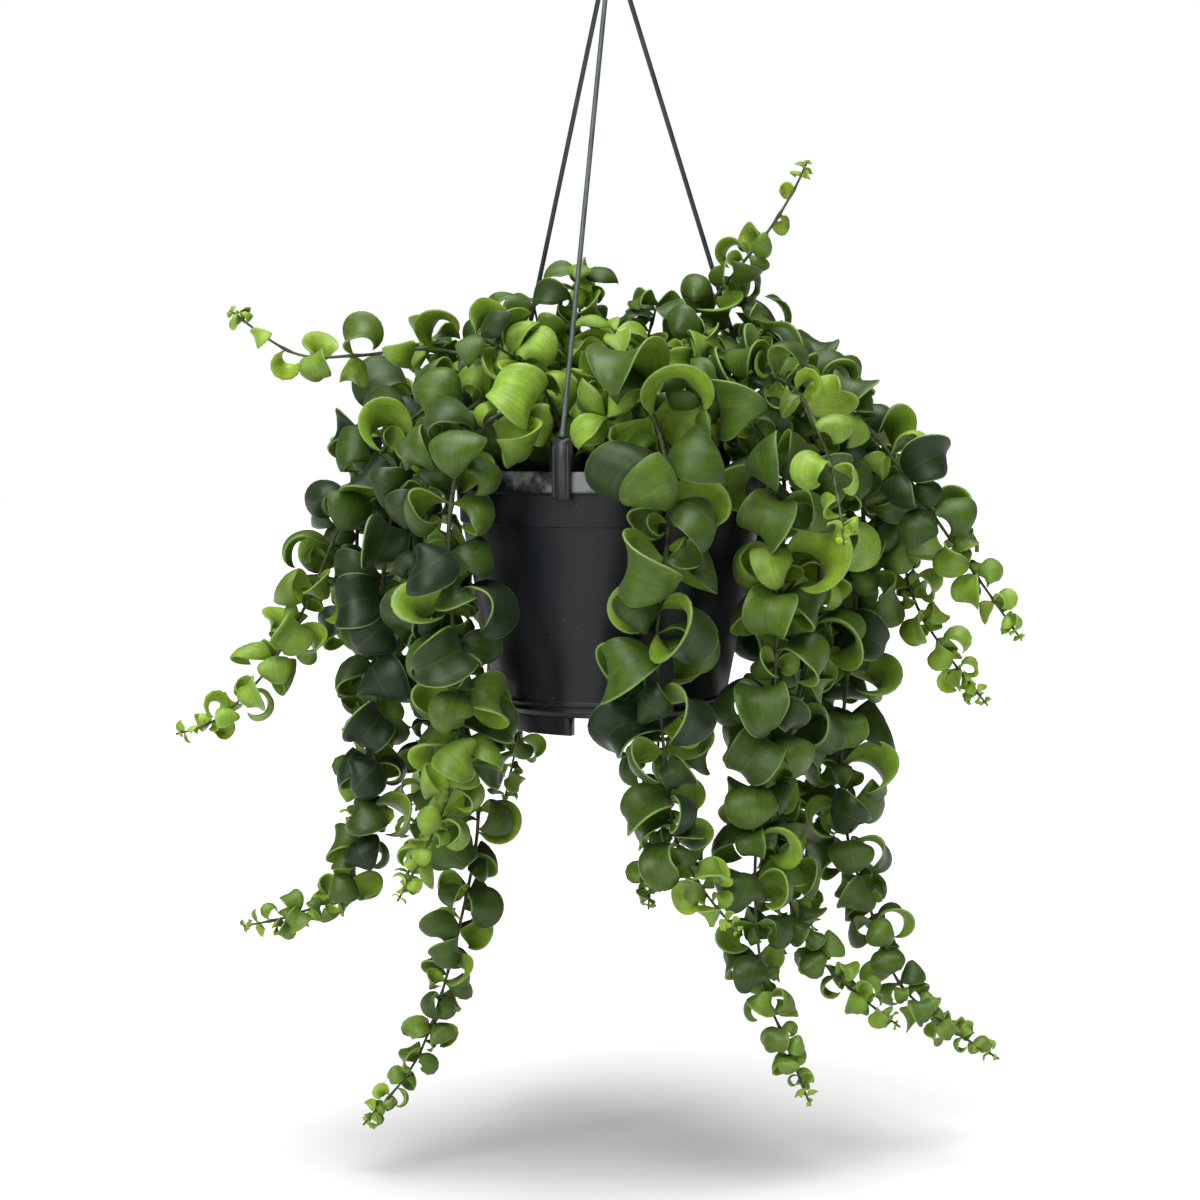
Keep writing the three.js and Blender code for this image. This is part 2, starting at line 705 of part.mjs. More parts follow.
function addLeaf(skin, leaf, low, high) {
  const { face, axes, arch, length } = leaf;
  const count = length > LONG_BLADE ? 3 : length > SHORT_BLADE ? 2 : 1;
  const stations = leafStations(leaf, axes, [...BLADE_SHARES[count], 1]);
  const thickness = LEAF_THICKNESS * clamp(length / FULL_THICKNESS_LENGTH, 0.6, 1);
  const sections = stations.slice(0, -1).map((station) => [
    bladePoint(station, arch, -1),
    station.point.clone().addScaledVector(station.normal, thickness / 2),
    bladePoint(station, arch, 1),
    station.point.clone().addScaledVector(station.normal, -thickness / 2),
  ]);
  const next = (face + 1) % 4;
  const corners = [low[next], high[next], high[face], low[face]];
  const cornerPlaces = corners.map((corner) => new THREE.Vector3()
    .fromArray(skin.positions, corner * 3));
  let ring = matchCorners(corners, cornerPlaces, sections[0]);
  for (const section of sections) {
    const following = skin.ring(section);
    skin.tube(ring, following);
    ring = following;
  }
  skin.cone(ring, stations[stations.length - 1].point);
}

function leafyStem(stem) {
  const skin = new Skin();
  const { route, nodes, leaves } = stem;
  const first = nodes[0];
  const foot = skin.ring(stemSection(stem, first.axes, 0));
  skin.indices.push(foot[0], foot[2], foot[1], foot[0], foot[3], foot[2]);
  let ring = skin.ring(stemSection(stem, first.axes, FIRST_SECTION));
  skin.tube(foot, ring);
  for (const node of nodes) {
    const grown = leaves.filter((leaf) => leaf.node === node);
    const low = skin.ring(stemSection(stem, node.axes, node.distance - ROOT_HEIGHT));
    skin.tube(ring, low);
    if (grown.length > 0) {
      const high = skin.ring(stemSection(stem, node.axes, node.distance + ROOT_HEIGHT));
      skin.tube(low, high, grown.map((leaf) => leaf.face));
      grown.forEach((leaf) => addLeaf(skin, leaf, low, high));
      ring = high;
    } else {
      ring = low;
    }
  }
  skin.cone(ring, route.at(route.length));
  return skin.geometry();
}

// The pot: a lathed shell with feet between three gaps, and drain holes in its floor
function potGeometry() {
  const innerFoot = FOOT_RADIUS - FOOT_WIDTH;
  const profile = [
    [0, FLOOR_TOP],
    [BODY_BOTTOM_RADIUS - WALL, FLOOR_TOP],
    [BODY_TOP_RADIUS - WALL, COLLAR_BOTTOM],
    [RIM_RADIUS - 4, -RIM_BAND_HEIGHT],
    [RIM_RADIUS - 3.7, 0],
    [RIM_RADIUS, 0],
    [RIM_RADIUS - 0.4, -RIM_BAND_HEIGHT],
    [COLLAR_RADIUS, -RIM_BAND_HEIGHT],
    [COLLAR_RADIUS - 0.5, COLLAR_BOTTOM],
    [BODY_TOP_RADIUS, COLLAR_BOTTOM],
    [BODY_BOTTOM_RADIUS, RIDGE_TOP],
  ];
  for (let ridge = 0; ridge < 2; ridge += 1) {
    const top = RIDGE_TOP - ridge * RIDGE_PITCH;
    profile.push([BODY_BOTTOM_RADIUS + RIDGE_DEPTH - ridge, top - RIDGE_PITCH * 0.3]);
    profile.push([BODY_BOTTOM_RADIUS - RIDGE_DEPTH - ridge, top - RIDGE_PITCH * 0.9]);
  }
  profile.push([FOOT_RADIUS + 1.5, FOOT_TOP], [FOOT_RADIUS, -POT_HEIGHT]);
  profile.push([innerFoot, -POT_HEIGHT], [innerFoot, FOOT_TOP], [0, FOOT_TOP]);
  let solid = toManifold(lathe(profile.reverse(), POT_SIDES));
  for (let gap = 0; gap < FOOT_GAPS; gap += 1) {
    const cut = new THREE.BoxGeometry(FOOT_GAP_WIDTH, FOOT_CUT, FOOT_CUT);
    cut.translate(0, -FOOT_RADIUS, FOOT_GAP_TOP - FOOT_CUT / 2);
    cut.rotateZ(FOOT_GAP_TURN + (gap * 2 * Math.PI) / FOOT_GAPS);
    solid = solid.subtract(toManifold(cut));
  }
  for (let hole = 0; hole < DRAIN_HOLES; hole += 1) {
    const angle = (hole * 2 * Math.PI) / DRAIN_HOLES;
    const x = DRAIN_CIRCLE * Math.cos(angle);
    const y = DRAIN_CIRCLE * Math.sin(angle);
    const drill = bar(new THREE.Vector3(x, y, FLOOR_TOP + DRILL_MARGIN),
      new THREE.Vector3(x, y, FOOT_TOP - DRILL_MARGIN), DRAIN_RADIUS, 6);
    solid = solid.subtract(toManifold(drill));
  }
  return fromManifold(solid);
}

// The soil: a plug that fills the pot, low at the wall, with a hole for each stem
function soilGeometry(stems) {
  const profile = [
    [0, FLOOR_TOP + GAP],
    [BODY_BOTTOM_RADIUS - WALL - 0.6, FLOOR_TOP + GAP],
    [BODY_TOP_RADIUS - WALL - 0.5, COLLAR_BOTTOM],
    [BODY_TOP_RADIUS - WALL - 0.2, SOIL_EDGE],
    [SOIL_FLAT_RADIUS, SOIL_TOP],
    [0, SOIL_TOP],
  ];
  let solid = toManifold(lathe(profile, POT_SIDES));
  for (const { route } of stems) {
    const foot = route.at(0);
    const lean = route.at(SOIL_TOP - STEM_FOOT).sub(foot);
    const top = foot.clone().addScaledVector(lean, 1.3);
    const bottom = foot.clone().addScaledVector(lean, -0.1);
    solid = solid.subtract(toManifold(bar(bottom, top, STEM_HOLE_RADIUS, 5)));
  }
  return fromManifold(solid);
}

// The hook: a ring left open on one side, on a boss that the strands run into
function hookGeometry() {
  const centre = HOOK_BEARING + HOOK_WIRE_RADIUS - HOOK_RING_RADIUS;
  const points = [new THREE.Vector3(0, 0, BOSS_TOP - 4)];
  for (let step = 0; step <= HOOK_RING_STEPS; step += 1) {
    const angle = THREE.MathUtils.degToRad(
      mix(HOOK_RING_FROM, HOOK_RING_TO, step / HOOK_RING_STEPS));
    points.push(new THREE.Vector3(HOOK_RING_RADIUS * Math.cos(angle), 0,
      centre + HOOK_RING_RADIUS * Math.sin(angle)));
  }
  const rings = points.map((point, index) => {
    const before = points[Math.max(0, index - 1)];
    const after = points[Math.min(points.length - 1, index + 1)];
    const along = index === 1 ? new THREE.Vector3(0.7, 0, 0.7).normalize()
      : after.clone().sub(before).normalize();
    const across = new THREE.Vector3(0, 1, 0);
    const other = new THREE.Vector3().crossVectors(along, across);
    return Array.from({ length: HOOK_SIDES }, (unused, corner) => {
      const angle = (2 * Math.PI * corner) / HOOK_SIDES;
      return point.clone().addScaledVector(across, HOOK_WIRE_RADIUS * Math.cos(angle))
        .addScaledVector(other, HOOK_WIRE_RADIUS * Math.sin(angle));
    });
  });
  const hook = toManifold(solidFromRings(rings, points[0], points[points.length - 1]));
  const boss = bar(new THREE.Vector3(0, 0, BOSS_BOTTOM), new THREE.Vector3(0, 0, BOSS_TOP),
    BOSS_RADIUS, 12);
  return fromManifold(hook.add(toManifold(boss)));
}

// A clip's section, outwards by height: it grips the rim band from above and toes in under it
function clipGeometry(angle) {
  const band = RIM_RADIUS + GAP + 0.1;
  const section = [
    [band + 2.2, -RIM_BAND_HEIGHT - 2.4],
    [band + 2.2, CLIP_TOP - 2],
    [band + 0.8, CLIP_TOP],
    [band - 2, CLIP_TOP],
    [band - 2.8, 3],
    [RIM_RADIUS - 5.8, 2],
    [RIM_RADIUS - 5.8, -6],
    [RIM_RADIUS - 4.4, -6],
    [RIM_RADIUS - 4.2, GAP + 0.1],
    [band, GAP + 0.1],
    [band, -RIM_BAND_HEIGHT - GAP - 0.1],
    [band - 2, -RIM_BAND_HEIGHT - GAP - 0.1],
    [band - 2, -RIM_BAND_HEIGHT - 2.4],
  ];
  const shape = new THREE.Shape(section.map(([out, height]) => new THREE.Vector2(out, height)));
  const geometry = new THREE.ExtrudeGeometry(shape, { depth: CLIP_WIDTH, bevelEnabled: false });
  geometry.translate(0, 0, -CLIP_WIDTH / 2);
  geometry.rotateX(Math.PI / 2);
  geometry.rotateZ(THREE.MathUtils.degToRad(angle - 90));
  return geometry;
}

// Finishes
const black = new THREE.MeshStandardMaterial({ color: 0x1b1c1e, roughness: 0.45 });
const greyGreen = new THREE.MeshStandardMaterial({ color: 0x4a544c, roughness: 0.5 });
const earth = new THREE.MeshStandardMaterial({ color: 0x2c2119, roughness: 0.95 });
const green = new THREE.MeshStandardMaterial({ color: 0x2f5a26, roughness: 0.4 });

function mesh(name, geometry, material) {
  const object = new THREE.Mesh(geometry, material);
  object.name = name;
  return object;
}

const plant = new THREE.Group();
plant.position.z = -HOOK_BEARING;

const stems = layOutStems();
plant.add(mesh("pot", potGeometry(), black));
plant.add(mesh("soil", soilGeometry(stems), earth));
plant.add(mesh("hanger_hook", hookGeometry(), black));
CLIP_ANGLES.forEach((angle, index) => {
  const [low, high] = strandEnds(angle);
  plant.add(mesh(`hanger_strand_${index + 1}`, bar(low, high, STRAND_RADIUS, 6), greyGreen));
  plant.add(mesh(`hanger_clip_${index + 1}`, clipGeometry(angle), greyGreen));
});
for (const stem of stems) {
  plant.add(mesh(stem.spec.name, leafyStem(stem), green));
}

export default plant;
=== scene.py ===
"""Looks of a trailing lipstick plant in a black hanging pot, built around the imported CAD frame."""

import math

import bmesh
import bpy
import numpy as np
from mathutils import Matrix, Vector
from mathutils import noise as mathutils_noise


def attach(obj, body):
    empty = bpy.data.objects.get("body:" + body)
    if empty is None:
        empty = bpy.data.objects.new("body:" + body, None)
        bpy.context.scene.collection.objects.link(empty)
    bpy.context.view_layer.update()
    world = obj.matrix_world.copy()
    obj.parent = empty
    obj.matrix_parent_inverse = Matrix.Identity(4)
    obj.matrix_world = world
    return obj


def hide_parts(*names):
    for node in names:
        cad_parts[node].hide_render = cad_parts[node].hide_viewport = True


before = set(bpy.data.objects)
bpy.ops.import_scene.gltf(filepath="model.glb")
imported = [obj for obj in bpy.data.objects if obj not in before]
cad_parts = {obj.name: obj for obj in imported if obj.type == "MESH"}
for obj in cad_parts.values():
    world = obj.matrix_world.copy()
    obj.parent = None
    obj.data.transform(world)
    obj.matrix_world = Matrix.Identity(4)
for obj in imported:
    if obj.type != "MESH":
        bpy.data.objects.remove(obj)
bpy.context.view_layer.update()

bl_info = {
    "name": "Hanging lipstick plant",
    "version": (1, 0, 0),
    "blender": (4, 5, 0),
    "location": "View3D > Sidebar > Plant",
    "description": "Trailing plant with curled leaves in a hanging pot, with its studio",
    "category": "Add Mesh",
}

# Lengths below are millimetres from the middle of the rim's top, unless a name ends in _M
MM = 0.001
BODY = "root"

# The pot, as in the part's own source
RIM_RADIUS = 75
RIM_BAND_HEIGHT = 10
COLLAR_RADIUS = 72
COLLAR_BOTTOM = -25
BODY_TOP_RADIUS = 70.6
BODY_BOTTOM_RADIUS = 55.4
RIDGE_TOP = -106
RIDGE_PITCH = 3.4
RIDGE_DEPTH = 1.2
FOOT_RADIUS = 50.5
FOOT_WIDTH = 5
FOOT_TOP = -113.5
POT_HEIGHT = 122
WALL = 2.2
FLOOR_TOP = -110.5
FOOT_GAPS = 3
FOOT_GAP_WIDTH = 26
FOOT_GAP_TURN = -0.12
DRAIN_HOLES = 5
DRAIN_RADIUS = 4
DRAIN_CIRCLE = 30
SOIL_TOP = -9
SOIL_EDGE = -12
SOIL_FLAT_RADIUS = 62
GAP = 0.3

# The hanger
HOOK_BEARING = 280
HOOK_WIRE_RADIUS = 2.3
HOOK_RING_RADIUS = 13.3
HOOK_START_ANGLE = -90
HOOK_END_ANGLE = 205
BOSS_BOTTOM = 240
BOSS_TOP = 252
BOSS_RADIUS = 6.5
STRAND_RADIUS = 1.25
STRAND_TOP_CIRCLE = 2.4
CLIP_WIDTH = 8.6
CLIP_TOP = 15
CLIP_REACH = 76.4
CLIP_ANGLES = (-17, 103, -137)

# Leafy stems
LARGE_LEAF = 24
SMALLEST_LEAF = 10
FULL_LEAF = 44
LARGE_LEAF_PITCH = 22
SMALL_LEAF_PITCH = 9
CLEARANCE = 3.8
OWN_CLEARANCE = 3.2
OWN_SHARE = 0.16
STALK_SHARE = 0.1
TIP_LEAF_SHARE = 0.28
FULL_UNTIL = 0.55
SHRINK_SPAN = 0.45
LOWEST_LEAF = 9
LAST_NODE_BACK = 5
MIDRIB_STEPS = 40

# Ranges that a leaf is drawn from: shares of its size, then angles in radians
SIZE_SHARES = (0.88, 1.08)
WIDTH_SHARES = (0.5, 0.6)
CURLS = (3.7, 5.0)
RISES = (0.3, 0.75)
ARCHES_UP = (0.45, 1.0)
ARCHES_DOWN = (-1.0, -0.4)
TURNS = (-1.3, 1.3)
TWISTS = (-1.1, 1.1)
HANGING_SLOPE = -0.25

# Turn in degrees, scale and share of the curl that a leaf may take to find room
TRIES = ((0, 1, 1), (22, 1, 1), (-22, 1, 1), (0, 1, 0.85), (45, 1, 0.9), (-45, 1, 0.9),
         (70, 0.95, 0.9), (-70, 0.95, 0.9), (0, 0.85, 0.9), (35, 0.85, 1.1), (-35, 0.85, 1.1),
         (90, 0.8, 0.85), (-90, 0.8, 0.85), (0, 0.7, 1), (45, 0.7, 1.1), (-45, 0.7, 1.1))

# Stem routes from the foot in the soil to the growing tip, with the length of the full-grown
# leaves and, where it differs, the distance between large leaf pairs
ROUTES = (
    ("crown_peak", 42, 16, ((-11, 4, -30), (-12, 4, 20), (-15, 6, 60), (-14, 6, 94))),
    ("crown_peak_left", 40, 16, ((-18, -13, -30), (-20, -13, 18), (-31, -8, 54), (-37, -4, 80))),
    ("crown_front", 44, 16, ((0, -30, -30), (-1, -32, 20), (-2, -38, 44), (2, -44, 64))),
    ("crown_front_left", 46, 16,
     ((-20, -33, -30), (-22, -35, 14), (-36, -44, 44), (-62, -54, 62))),
    ("crown_left", 44, 17, ((-42, 4, -30), (-44, 4, 18), (-66, 10, 40), (-90, 14, 60))),
    ("crown_back_left", 44, 16,
     ((-26, 18, -30), (-28, 20, 20), (-42, 22, 50), (-60, 26, 68))),
    ("crown_middle", 44, 16, ((5, -4, -30), (6, -4, 20), (14, -6, 50), (22, -8, 78))),
    ("crown_front_right", 44, 16,
     ((18, -25, -30), (19, -26, 20), (28, -31, 44), (44, -35, 64))),
    ("crown_right", 44, 17, ((36, -8, -30), (38, -9, 20), (54, -13, 48), (74, -13, 66))),
    ("crown_far_right", 44, 17,
     ((38, 20, -30), (40, 22, 20), (56, 32, 50), (86, 36, 66))),
    ("crown_back", 44, 16, ((4, 26, -30), (4, 28, 20), (2, 38, 50), (-4, 50, 68))),
    ("crown_back_right", 44, 16,
     ((26, 38, -30), (27, 40, 20), (38, 50, 46), (52, 60, 60))),
    ("crown_rear", 44, 16,
     ((-18, 38, -30), (-20, 40, 20), (-26, 52, 46), (-32, 66, 58))),
    ("crown_rim_left", 40, 16,
     ((-7, -44, -30), (-8, -46, 8), (-5, -62, 26), (-2, -82, 24))),
    ("crown_rim_right", 40, 16,
     ((24, -44, -30), (25, -46, 8), (33, -64, 28), (42, -80, 30))),
    ("vine_front", 57, LARGE_LEAF_PITCH,
     ((10, -52, -30), (10, -54, 10), (12, -70, 30), (20, -88, 20), (25, -94, -8),
      (23, -91, -45), (20, -86, -80), (24, -80, -130), (29, -79, -165), (42, -82, -188),
      (57, -90, -205))),
    ("vine_front_left", 48, LARGE_LEAF_PITCH,
     ((-26, -46, -30), (-29, -48, 12), (-42, -61, 28), (-64, -77, 12), (-72, -81, -22),
      (-71, -78, -65), (-68, -76, -108), (-71, -76, -138), (-83, -78, -168),
      (-96, -82, -192))),
    ("vine_front_right", 48, LARGE_LEAF_PITCH,
     ((34, -38, -30), (36, -41, 12), (50, -54, 30), (68, -66, 14), (76, -68, -20),
      (75, -64, -75), (70, -56, -135), (66, -52, -185), (70, -52, -235), (80, -54, -262),
      (92, -54, -293))),
    ("vine_dark_left", 46, LARGE_LEAF_PITCH,
     ((-42, -28, -30), (-45, -28, 14), (-64, -30, 32), (-91, -38, 14), (-103, -36, -30),
      (-108, -34, -90), (-112, -34, -155), (-124, -34, -193), (-146, -34, -207),
      (-172, -34, -213))),
    ("vine_outer_left", 44, LARGE_LEAF_PITCH,
     ((-46, -13, -30), (-49, -14, 16), (-74, -18, 34), (-102, -18, 14), (-124, -20, -20),
      (-142, -22, -62), (-162, -24, -95), (-185, -24, -117), (-204, -24, -124))),
    ("vine_long_left", 42, LARGE_LEAF_PITCH,
     ((-34, -20, -30), (-36, -21, 14), (-54, -46, 34), (-80, -60, 8), (-84, -56, -24),
      (-82, -52, -60), (-73, -44, -100), (-64, -38, -130), (-62, -37, -165),
      (-69, -38, -205), (-81, -40, -250), (-94, -40, -280), (-116, -40, -306))),
    ("vine_right", 46, LARGE_LEAF_PITCH,
     ((48, -18, -30), (50, -20, 14), (70, -28, 34), (92, -36, 16), (98, -38, -20),
      (95, -36, -60), (86, -33, -110), (77, -31, -155), (81, -30, -195), (99, -30, -230),
      (118, -30, -248), (136, -30, -262))),
    ("vine_long_right", 44, LARGE_LEAF_PITCH,
     ((54, -3, -30), (57, -3, 18), (82, -4, 40), (110, -7, 20), (119, -8, -20),
      (116, -5, -65), (110, -4, -130), (113, -4, -175), (124, -4, -210), (138, -4, -246),
      (162, -4, -268), (187, -4, -284))),
    ("vine_back_right", 46, LARGE_LEAF_PITCH,
     ((56, 24, -30), (58, 26, 20), (84, 33, 38), (108, 38, 18), (113, 39, -20),
      (108, 36, -80), (100, 33, -150), (96, 30, -200), (100, 30, -230))),
    ("vine_spread_right", 44, LARGE_LEAF_PITCH,
     ((58, -13, -30), (61, -13, 18), (84, -19, 38), (112, -26, 26), (136, -28, -2),
      (156, -26, -30), (175, -24, -56), (192, -24, -80))),
    ("vine_outer_right", 42, LARGE_LEAF_PITCH,
     ((56, 7, -30), (58, 7, 20), (82, 10, 40), (112, 14, 26), (133, 11, -14),
      (145, 8, -62), (162, 6, -90), (181, 6, -114))),
    ("shoot_upper_right", 35, LARGE_LEAF_PITCH,
     ((24, 8, -30), (26, 8, 14), (33, 4, 44), (42, 2, 70), (60, -3, 94), (75, -5, 113),
      (86, -5, 131), (92, -5, 144))),
    ("shoot_upper_left", 37, LARGE_LEAF_PITCH,
     ((-28, -5, -30), (-30, -5, 16), (-52, -4, 46), (-85, -8, 56), (-118, -13, 53),
      (-148, -15, 54), (-178, -15, 74))),
    ("shoot_front_right", 40, LARGE_LEAF_PITCH,
     ((44, -31, -30), (46, -34, 14), (61, -50, 42), (80, -74, 38), (93, -94, 12),
      (98, -110, -14), (99, -122, -30))),
    ("vine_rear_right", 46, 29,
     ((42, 32, -30), (44, 34, 14), (62, 54, 32), (82, 70, 16), (88, 74, -20),
      (84, 70, -90), (84, 72, -160), (96, 82, -210))),
    ("vine_rear_middle", 46, 29,
     ((12, 50, -30), (12, 52, 14), (18, 74, 30), (28, 96, 14), (32, 102, -20),
      (28, 96, -90), (24, 94, -160), (20, 100, -232))),
    ("vine_rear_left", 46, 29,
     ((-22, 52, -30), (-23, 54, 14), (-33, 76, 28), (-44, 94, 14), (-48, 99, -20),
      (-44, 92, -80), (-46, 92, -130), (-56, 100, -180))),
    ("vine_far_left", 46, 29,
     ((-44, 30, -30), (-46, 31, 14), (-66, 44, 34), (-88, 58, 16), (-96, 62, -16),
      (-92, 60, -80), (-92, 60, -150), (-104, 68, -214))),
    ("vine_left_side", 44, 29,
     ((-54, 14, -30), (-56, 15, 16), (-82, 24, 36), (-110, 26, 18), (-122, 24, -20),
      (-122, 20, -80), (-118, 18, -130), (-128, 22, -178))),
)


# Seeds of the random draws: the first, and the step from one stem to the next
LAYOUT_SEEDS = (1000, 37)
LAYOUT_SEED_FACTOR = 7919
FILL_SEED_STEP = 7717
TIP_SEEDS = (9001, 331)
COLOUR_SEEDS = (77003, 911)
CRUMB_SEED = 4242


# Small helpers for lengths and directions
def mix(a, b, share):
    return a + (b - a) * share


def clamp(value, low, high):
    return min(high, max(low, value))


def unit(vector):
    return vector / math.sqrt(vector @ vector)


def turned(vector, axis, angle):
    """vector turned about a unit axis."""
    return (vector * math.cos(angle) + np.cross(axis, vector) * math.sin(angle)
            + axis * (axis @ vector) * (1 - math.cos(angle)))


def to_frame(points):
    """Points in millimetres from the rim's middle, as metres in the frame."""
    placed = np.array(points, float) * MM
    placed[..., 2] -= HOOK_BEARING * MM
    return placed


class SeededRandom:
    """Random numbers that repeat exactly from one run to the next."""

    def __init__(self, seed):
        self.state = seed

    def next(self):
        self.state = (self.state * 16807) % 2147483647
        return self.state / 2147483647

    def between(self, low, high):
        return low + (high - low) * self.next()


class Route:
    """A smooth curve through the points of a route, measured by distance along it."""

    STEPS = 12

    def __init__(self, points):
        given = np.array(points, float)
        last = len(given) - 1
        shares = np.arange(self.STEPS)[:, None] / self.STEPS
        spans = []
        for span in range(last):
            a, b, c, d = (given[clamp(span + shift, 0, last)] for shift in (-1, 0, 1, 2))
            spans.append(0.5 * (2 * b + (c - a) * shares
                                + (2 * a - 5 * b + 4 * c - d) * shares ** 2
                                + (3 * b - a - 3 * c + d) * shares ** 3))
        self.line = np.vstack(spans + [given[last:]])
        pieces = np.sqrt(((self.line[1:] - self.line[:-1]) ** 2).sum(1))
        self.marks = np.concatenate(([0], np.cumsum(pieces)))
        self.length = self.marks[-1]

    def at(self, distance):
        return np.array([np.interp(distance, self.marks, self.line[:, axis])
                         for axis in range(3)])

    def direction(self, distance):
        return unit(self.at(distance + 1.5) - self.at(distance - 1.5))


# Where leaf pairs sit along a stem, and how large the leaves are there
def growth_at(stem, distance):
    fall = clamp((distance / stem["route"].length - FULL_UNTIL) / SHRINK_SPAN, 0, 1)
    return stem["leaf"] * mix(1, TIP_LEAF_SHARE, fall ** 1.4)


def cross_axes(route, distance, last_across):
    along = route.direction(distance)
    across = unit(last_across - along * (last_across @ along))
    return {"along": along, "across": across, "other": np.cross(along, across)}


def leaf_nodes(stem):
    route = stem["route"]
    nodes = []
    distance = 0
    while route.at(distance)[2] < LOWEST_LEAF:
        distance += 2
    across = np.array([1.0, 0, 0])
    while distance < route.length - LAST_NODE_BACK:
        size = growth_at(stem, distance)
        axes = cross_axes(route, distance, across)
        across = axes["across"]
        nodes.append({"distance": distance, "size": size, "axes": axes,
                      "centre": route.at(distance)})
        grown = clamp((size - SMALLEST_LEAF) / (FULL_LEAF - SMALLEST_LEAF), 0, 1)
        distance += mix(SMALL_LEAF_PITCH, stem["pitch"], grown)
    return nodes


def around_stem(axes, angle):
    return axes["across"] * math.cos(angle) + axes["other"] * math.sin(angle)


def leaf_plan(stem, node, angle, random):
    """One leaf before it finds its place: a blade whose midrib curls under."""
    hangs = -1 if node["axes"]["along"][2] < HANGING_SLOPE else 1
    size = node["size"] * random.between(*SIZE_SHARES)
    return {
        "root": node["centre"],
        "distance": node["distance"],
        "outward": around_stem(node["axes"], angle),
        "upper": node["axes"]["along"] * hangs,
        "length": size,
        "width": size * random.between(*WIDTH_SHARES),
        "curl": random.between(*CURLS),
        "rise": random.between(*RISES),
        "arch": random.between(*(ARCHES_UP if random.next() < 0.5 else ARCHES_DOWN)),
        "turn": random.between(*TURNS),
        "twist": random.between(*TWISTS),
    }


def leaf_axes(plan, extra_turn):
    upper = turned(plan["upper"], plan["outward"], plan["turn"] + extra_turn)
    side = unit(np.cross(plan["outward"], upper))
    return {"ahead": turned(plan["outward"], side, plan["rise"]),
            "normal": turned(upper, side, plan["rise"]), "side": side}


def blade_outline(shares):
    return np.maximum(0, np.sin(math.pi * shares ** 1.05)) ** 0.9


MIDRIB_SHARES = np.arange(MIDRIB_STEPS + 1) / MIDRIB_STEPS


def leaf_stations(plan, axes, steps):
    """Points of the midrib at some of its steps, with the blade's normals and half widths."""
    bends = plan["curl"] * np.clip((MIDRIB_SHARES - STALK_SHARE) / (1 - STALK_SHARE), 0, 1) ** 1.1
    cosines, sines = np.cos(bends)[:, None], np.sin(bends)[:, None]
    headings = axes["ahead"] * cosines - axes["normal"] * sines
    normals = axes["normal"] * cosines + axes["ahead"] * sines
    strides = np.cumsum(headings[:-1], axis=0) * plan["length"] / MIDRIB_STEPS
    points = plan["root"] + np.vstack((np.zeros((1, 3)), strides))
    halves = 0.5 * plan["width"] * blade_outline(MIDRIB_SHARES)
    twists = plan["twist"] * MIDRIB_SHARES[:, None]
    sides = axes["side"] * np.cos(twists) + normals * np.sin(twists)
    normals = normals * np.cos(twists) - axes["side"] * np.sin(twists)
    return points[steps], normals[steps], sides[steps], halves[steps]


def blade_points(stations, arch, across):
    """Points across the blade at each station, bent over by its arch."""
    points, normals, sides, halves = stations
    bends = abs(arch) * across
    spread = halves[:, None] * np.sin(bends) / abs(arch)
    drop = halves[:, None] * (1 - np.cos(bends)) / arch
    return points[:, None] + sides[:, None] * spread[..., None] - normals[:, None] * drop[..., None]


class Room:
    """Room that is already taken, kept as clumps of points with the stem that owns each."""

    def __init__(self):
        self.clumps = []
        self.owners = []
        self.lows = np.zeros((0, 3))
        self.highs = np.zeros((0, 3))

    def add(self, points, owner):
        self.clumps.append(points)
        self.owners.append(owner)
        self.lows = np.vstack((self.lows, points.min(0)))
        self.highs = np.vstack((self.highs, points.max(0)))

    def is_clear(self, points, owner, distance, own_distances):
        low, high = points.min(0) - distance, points.max(0) + distance
        near = np.nonzero(((self.highs > low) & (self.lows < high)).all(1))[0]
        for index in near:
            gaps = ((points[:, None] - self.clumps[index][None]) ** 2).sum(2).min(1)
            limits = own_distances if self.owners[index] == owner else distance
            if (gaps < limits * limits).any():
                return False
        return True


def clear_of_pot(points):
    """Whether leaf points keep off the pot's wall, rim and soil."""
    radius = np.hypot(points[:, 0], points[:, 1])
    height = points[:, 2]
    fall = (COLLAR_BOTTOM - height) / (COLLAR_BOTTOM - RIDGE_TOP)
    wall = mix(BODY_TOP_RADIUS, BODY_BOTTOM_RADIUS, fall) + LEAF_OFF_WALL
    apart = (height > LEAF_OFF_POT) | (height < -POT_HEIGHT - LEAF_OFF_POT)
    below_collar = height < COLLAR_BOTTOM - LEAF_OFF_WALL
    outside = (radius > RIM_RADIUS + LEAF_OFF_POT) | (below_collar & (radius > wall))
    inside = (height > SOIL_TOP + LEAF_OFF_POT) & (radius < RIM_RADIUS - LEAF_INSIDE_RIM)
    return bool((apart | outside | inside).all())


LEAF_OFF_WALL = 4
LEAF_OFF_POT = 3
LEAF_INSIDE_RIM = 9
SAMPLE_STEPS = np.array([6, 10, 14, 18, 22, 26, 30, 34, 38, 40])
ACROSS_SAMPLES = np.array([-1, -0.5, 0, 0.5, 1])
ROOT_SAMPLES = 2 * len(ACROSS_SAMPLES)
FOLD_STEPS = np.array([8, 19, 29, 40])
LEAST_RUN = 0.1


def runs_on(plan, axes):
    """Whether both edges of a curled blade run on along its midrib, so that it can't fold."""
    stations = leaf_stations(plan, axes, FOLD_STEPS)
    strides = np.diff(stations[0], axis=0)
    edges = np.diff(blade_points(stations, plan["arch"], np.array([-1, 1])), axis=0)
    runs = np.einsum("sij,sj->si", edges, strides)
    least = LEAST_RUN * (strides ** 2).sum(axis=1)
    return bool((runs > least[:, None]).all())


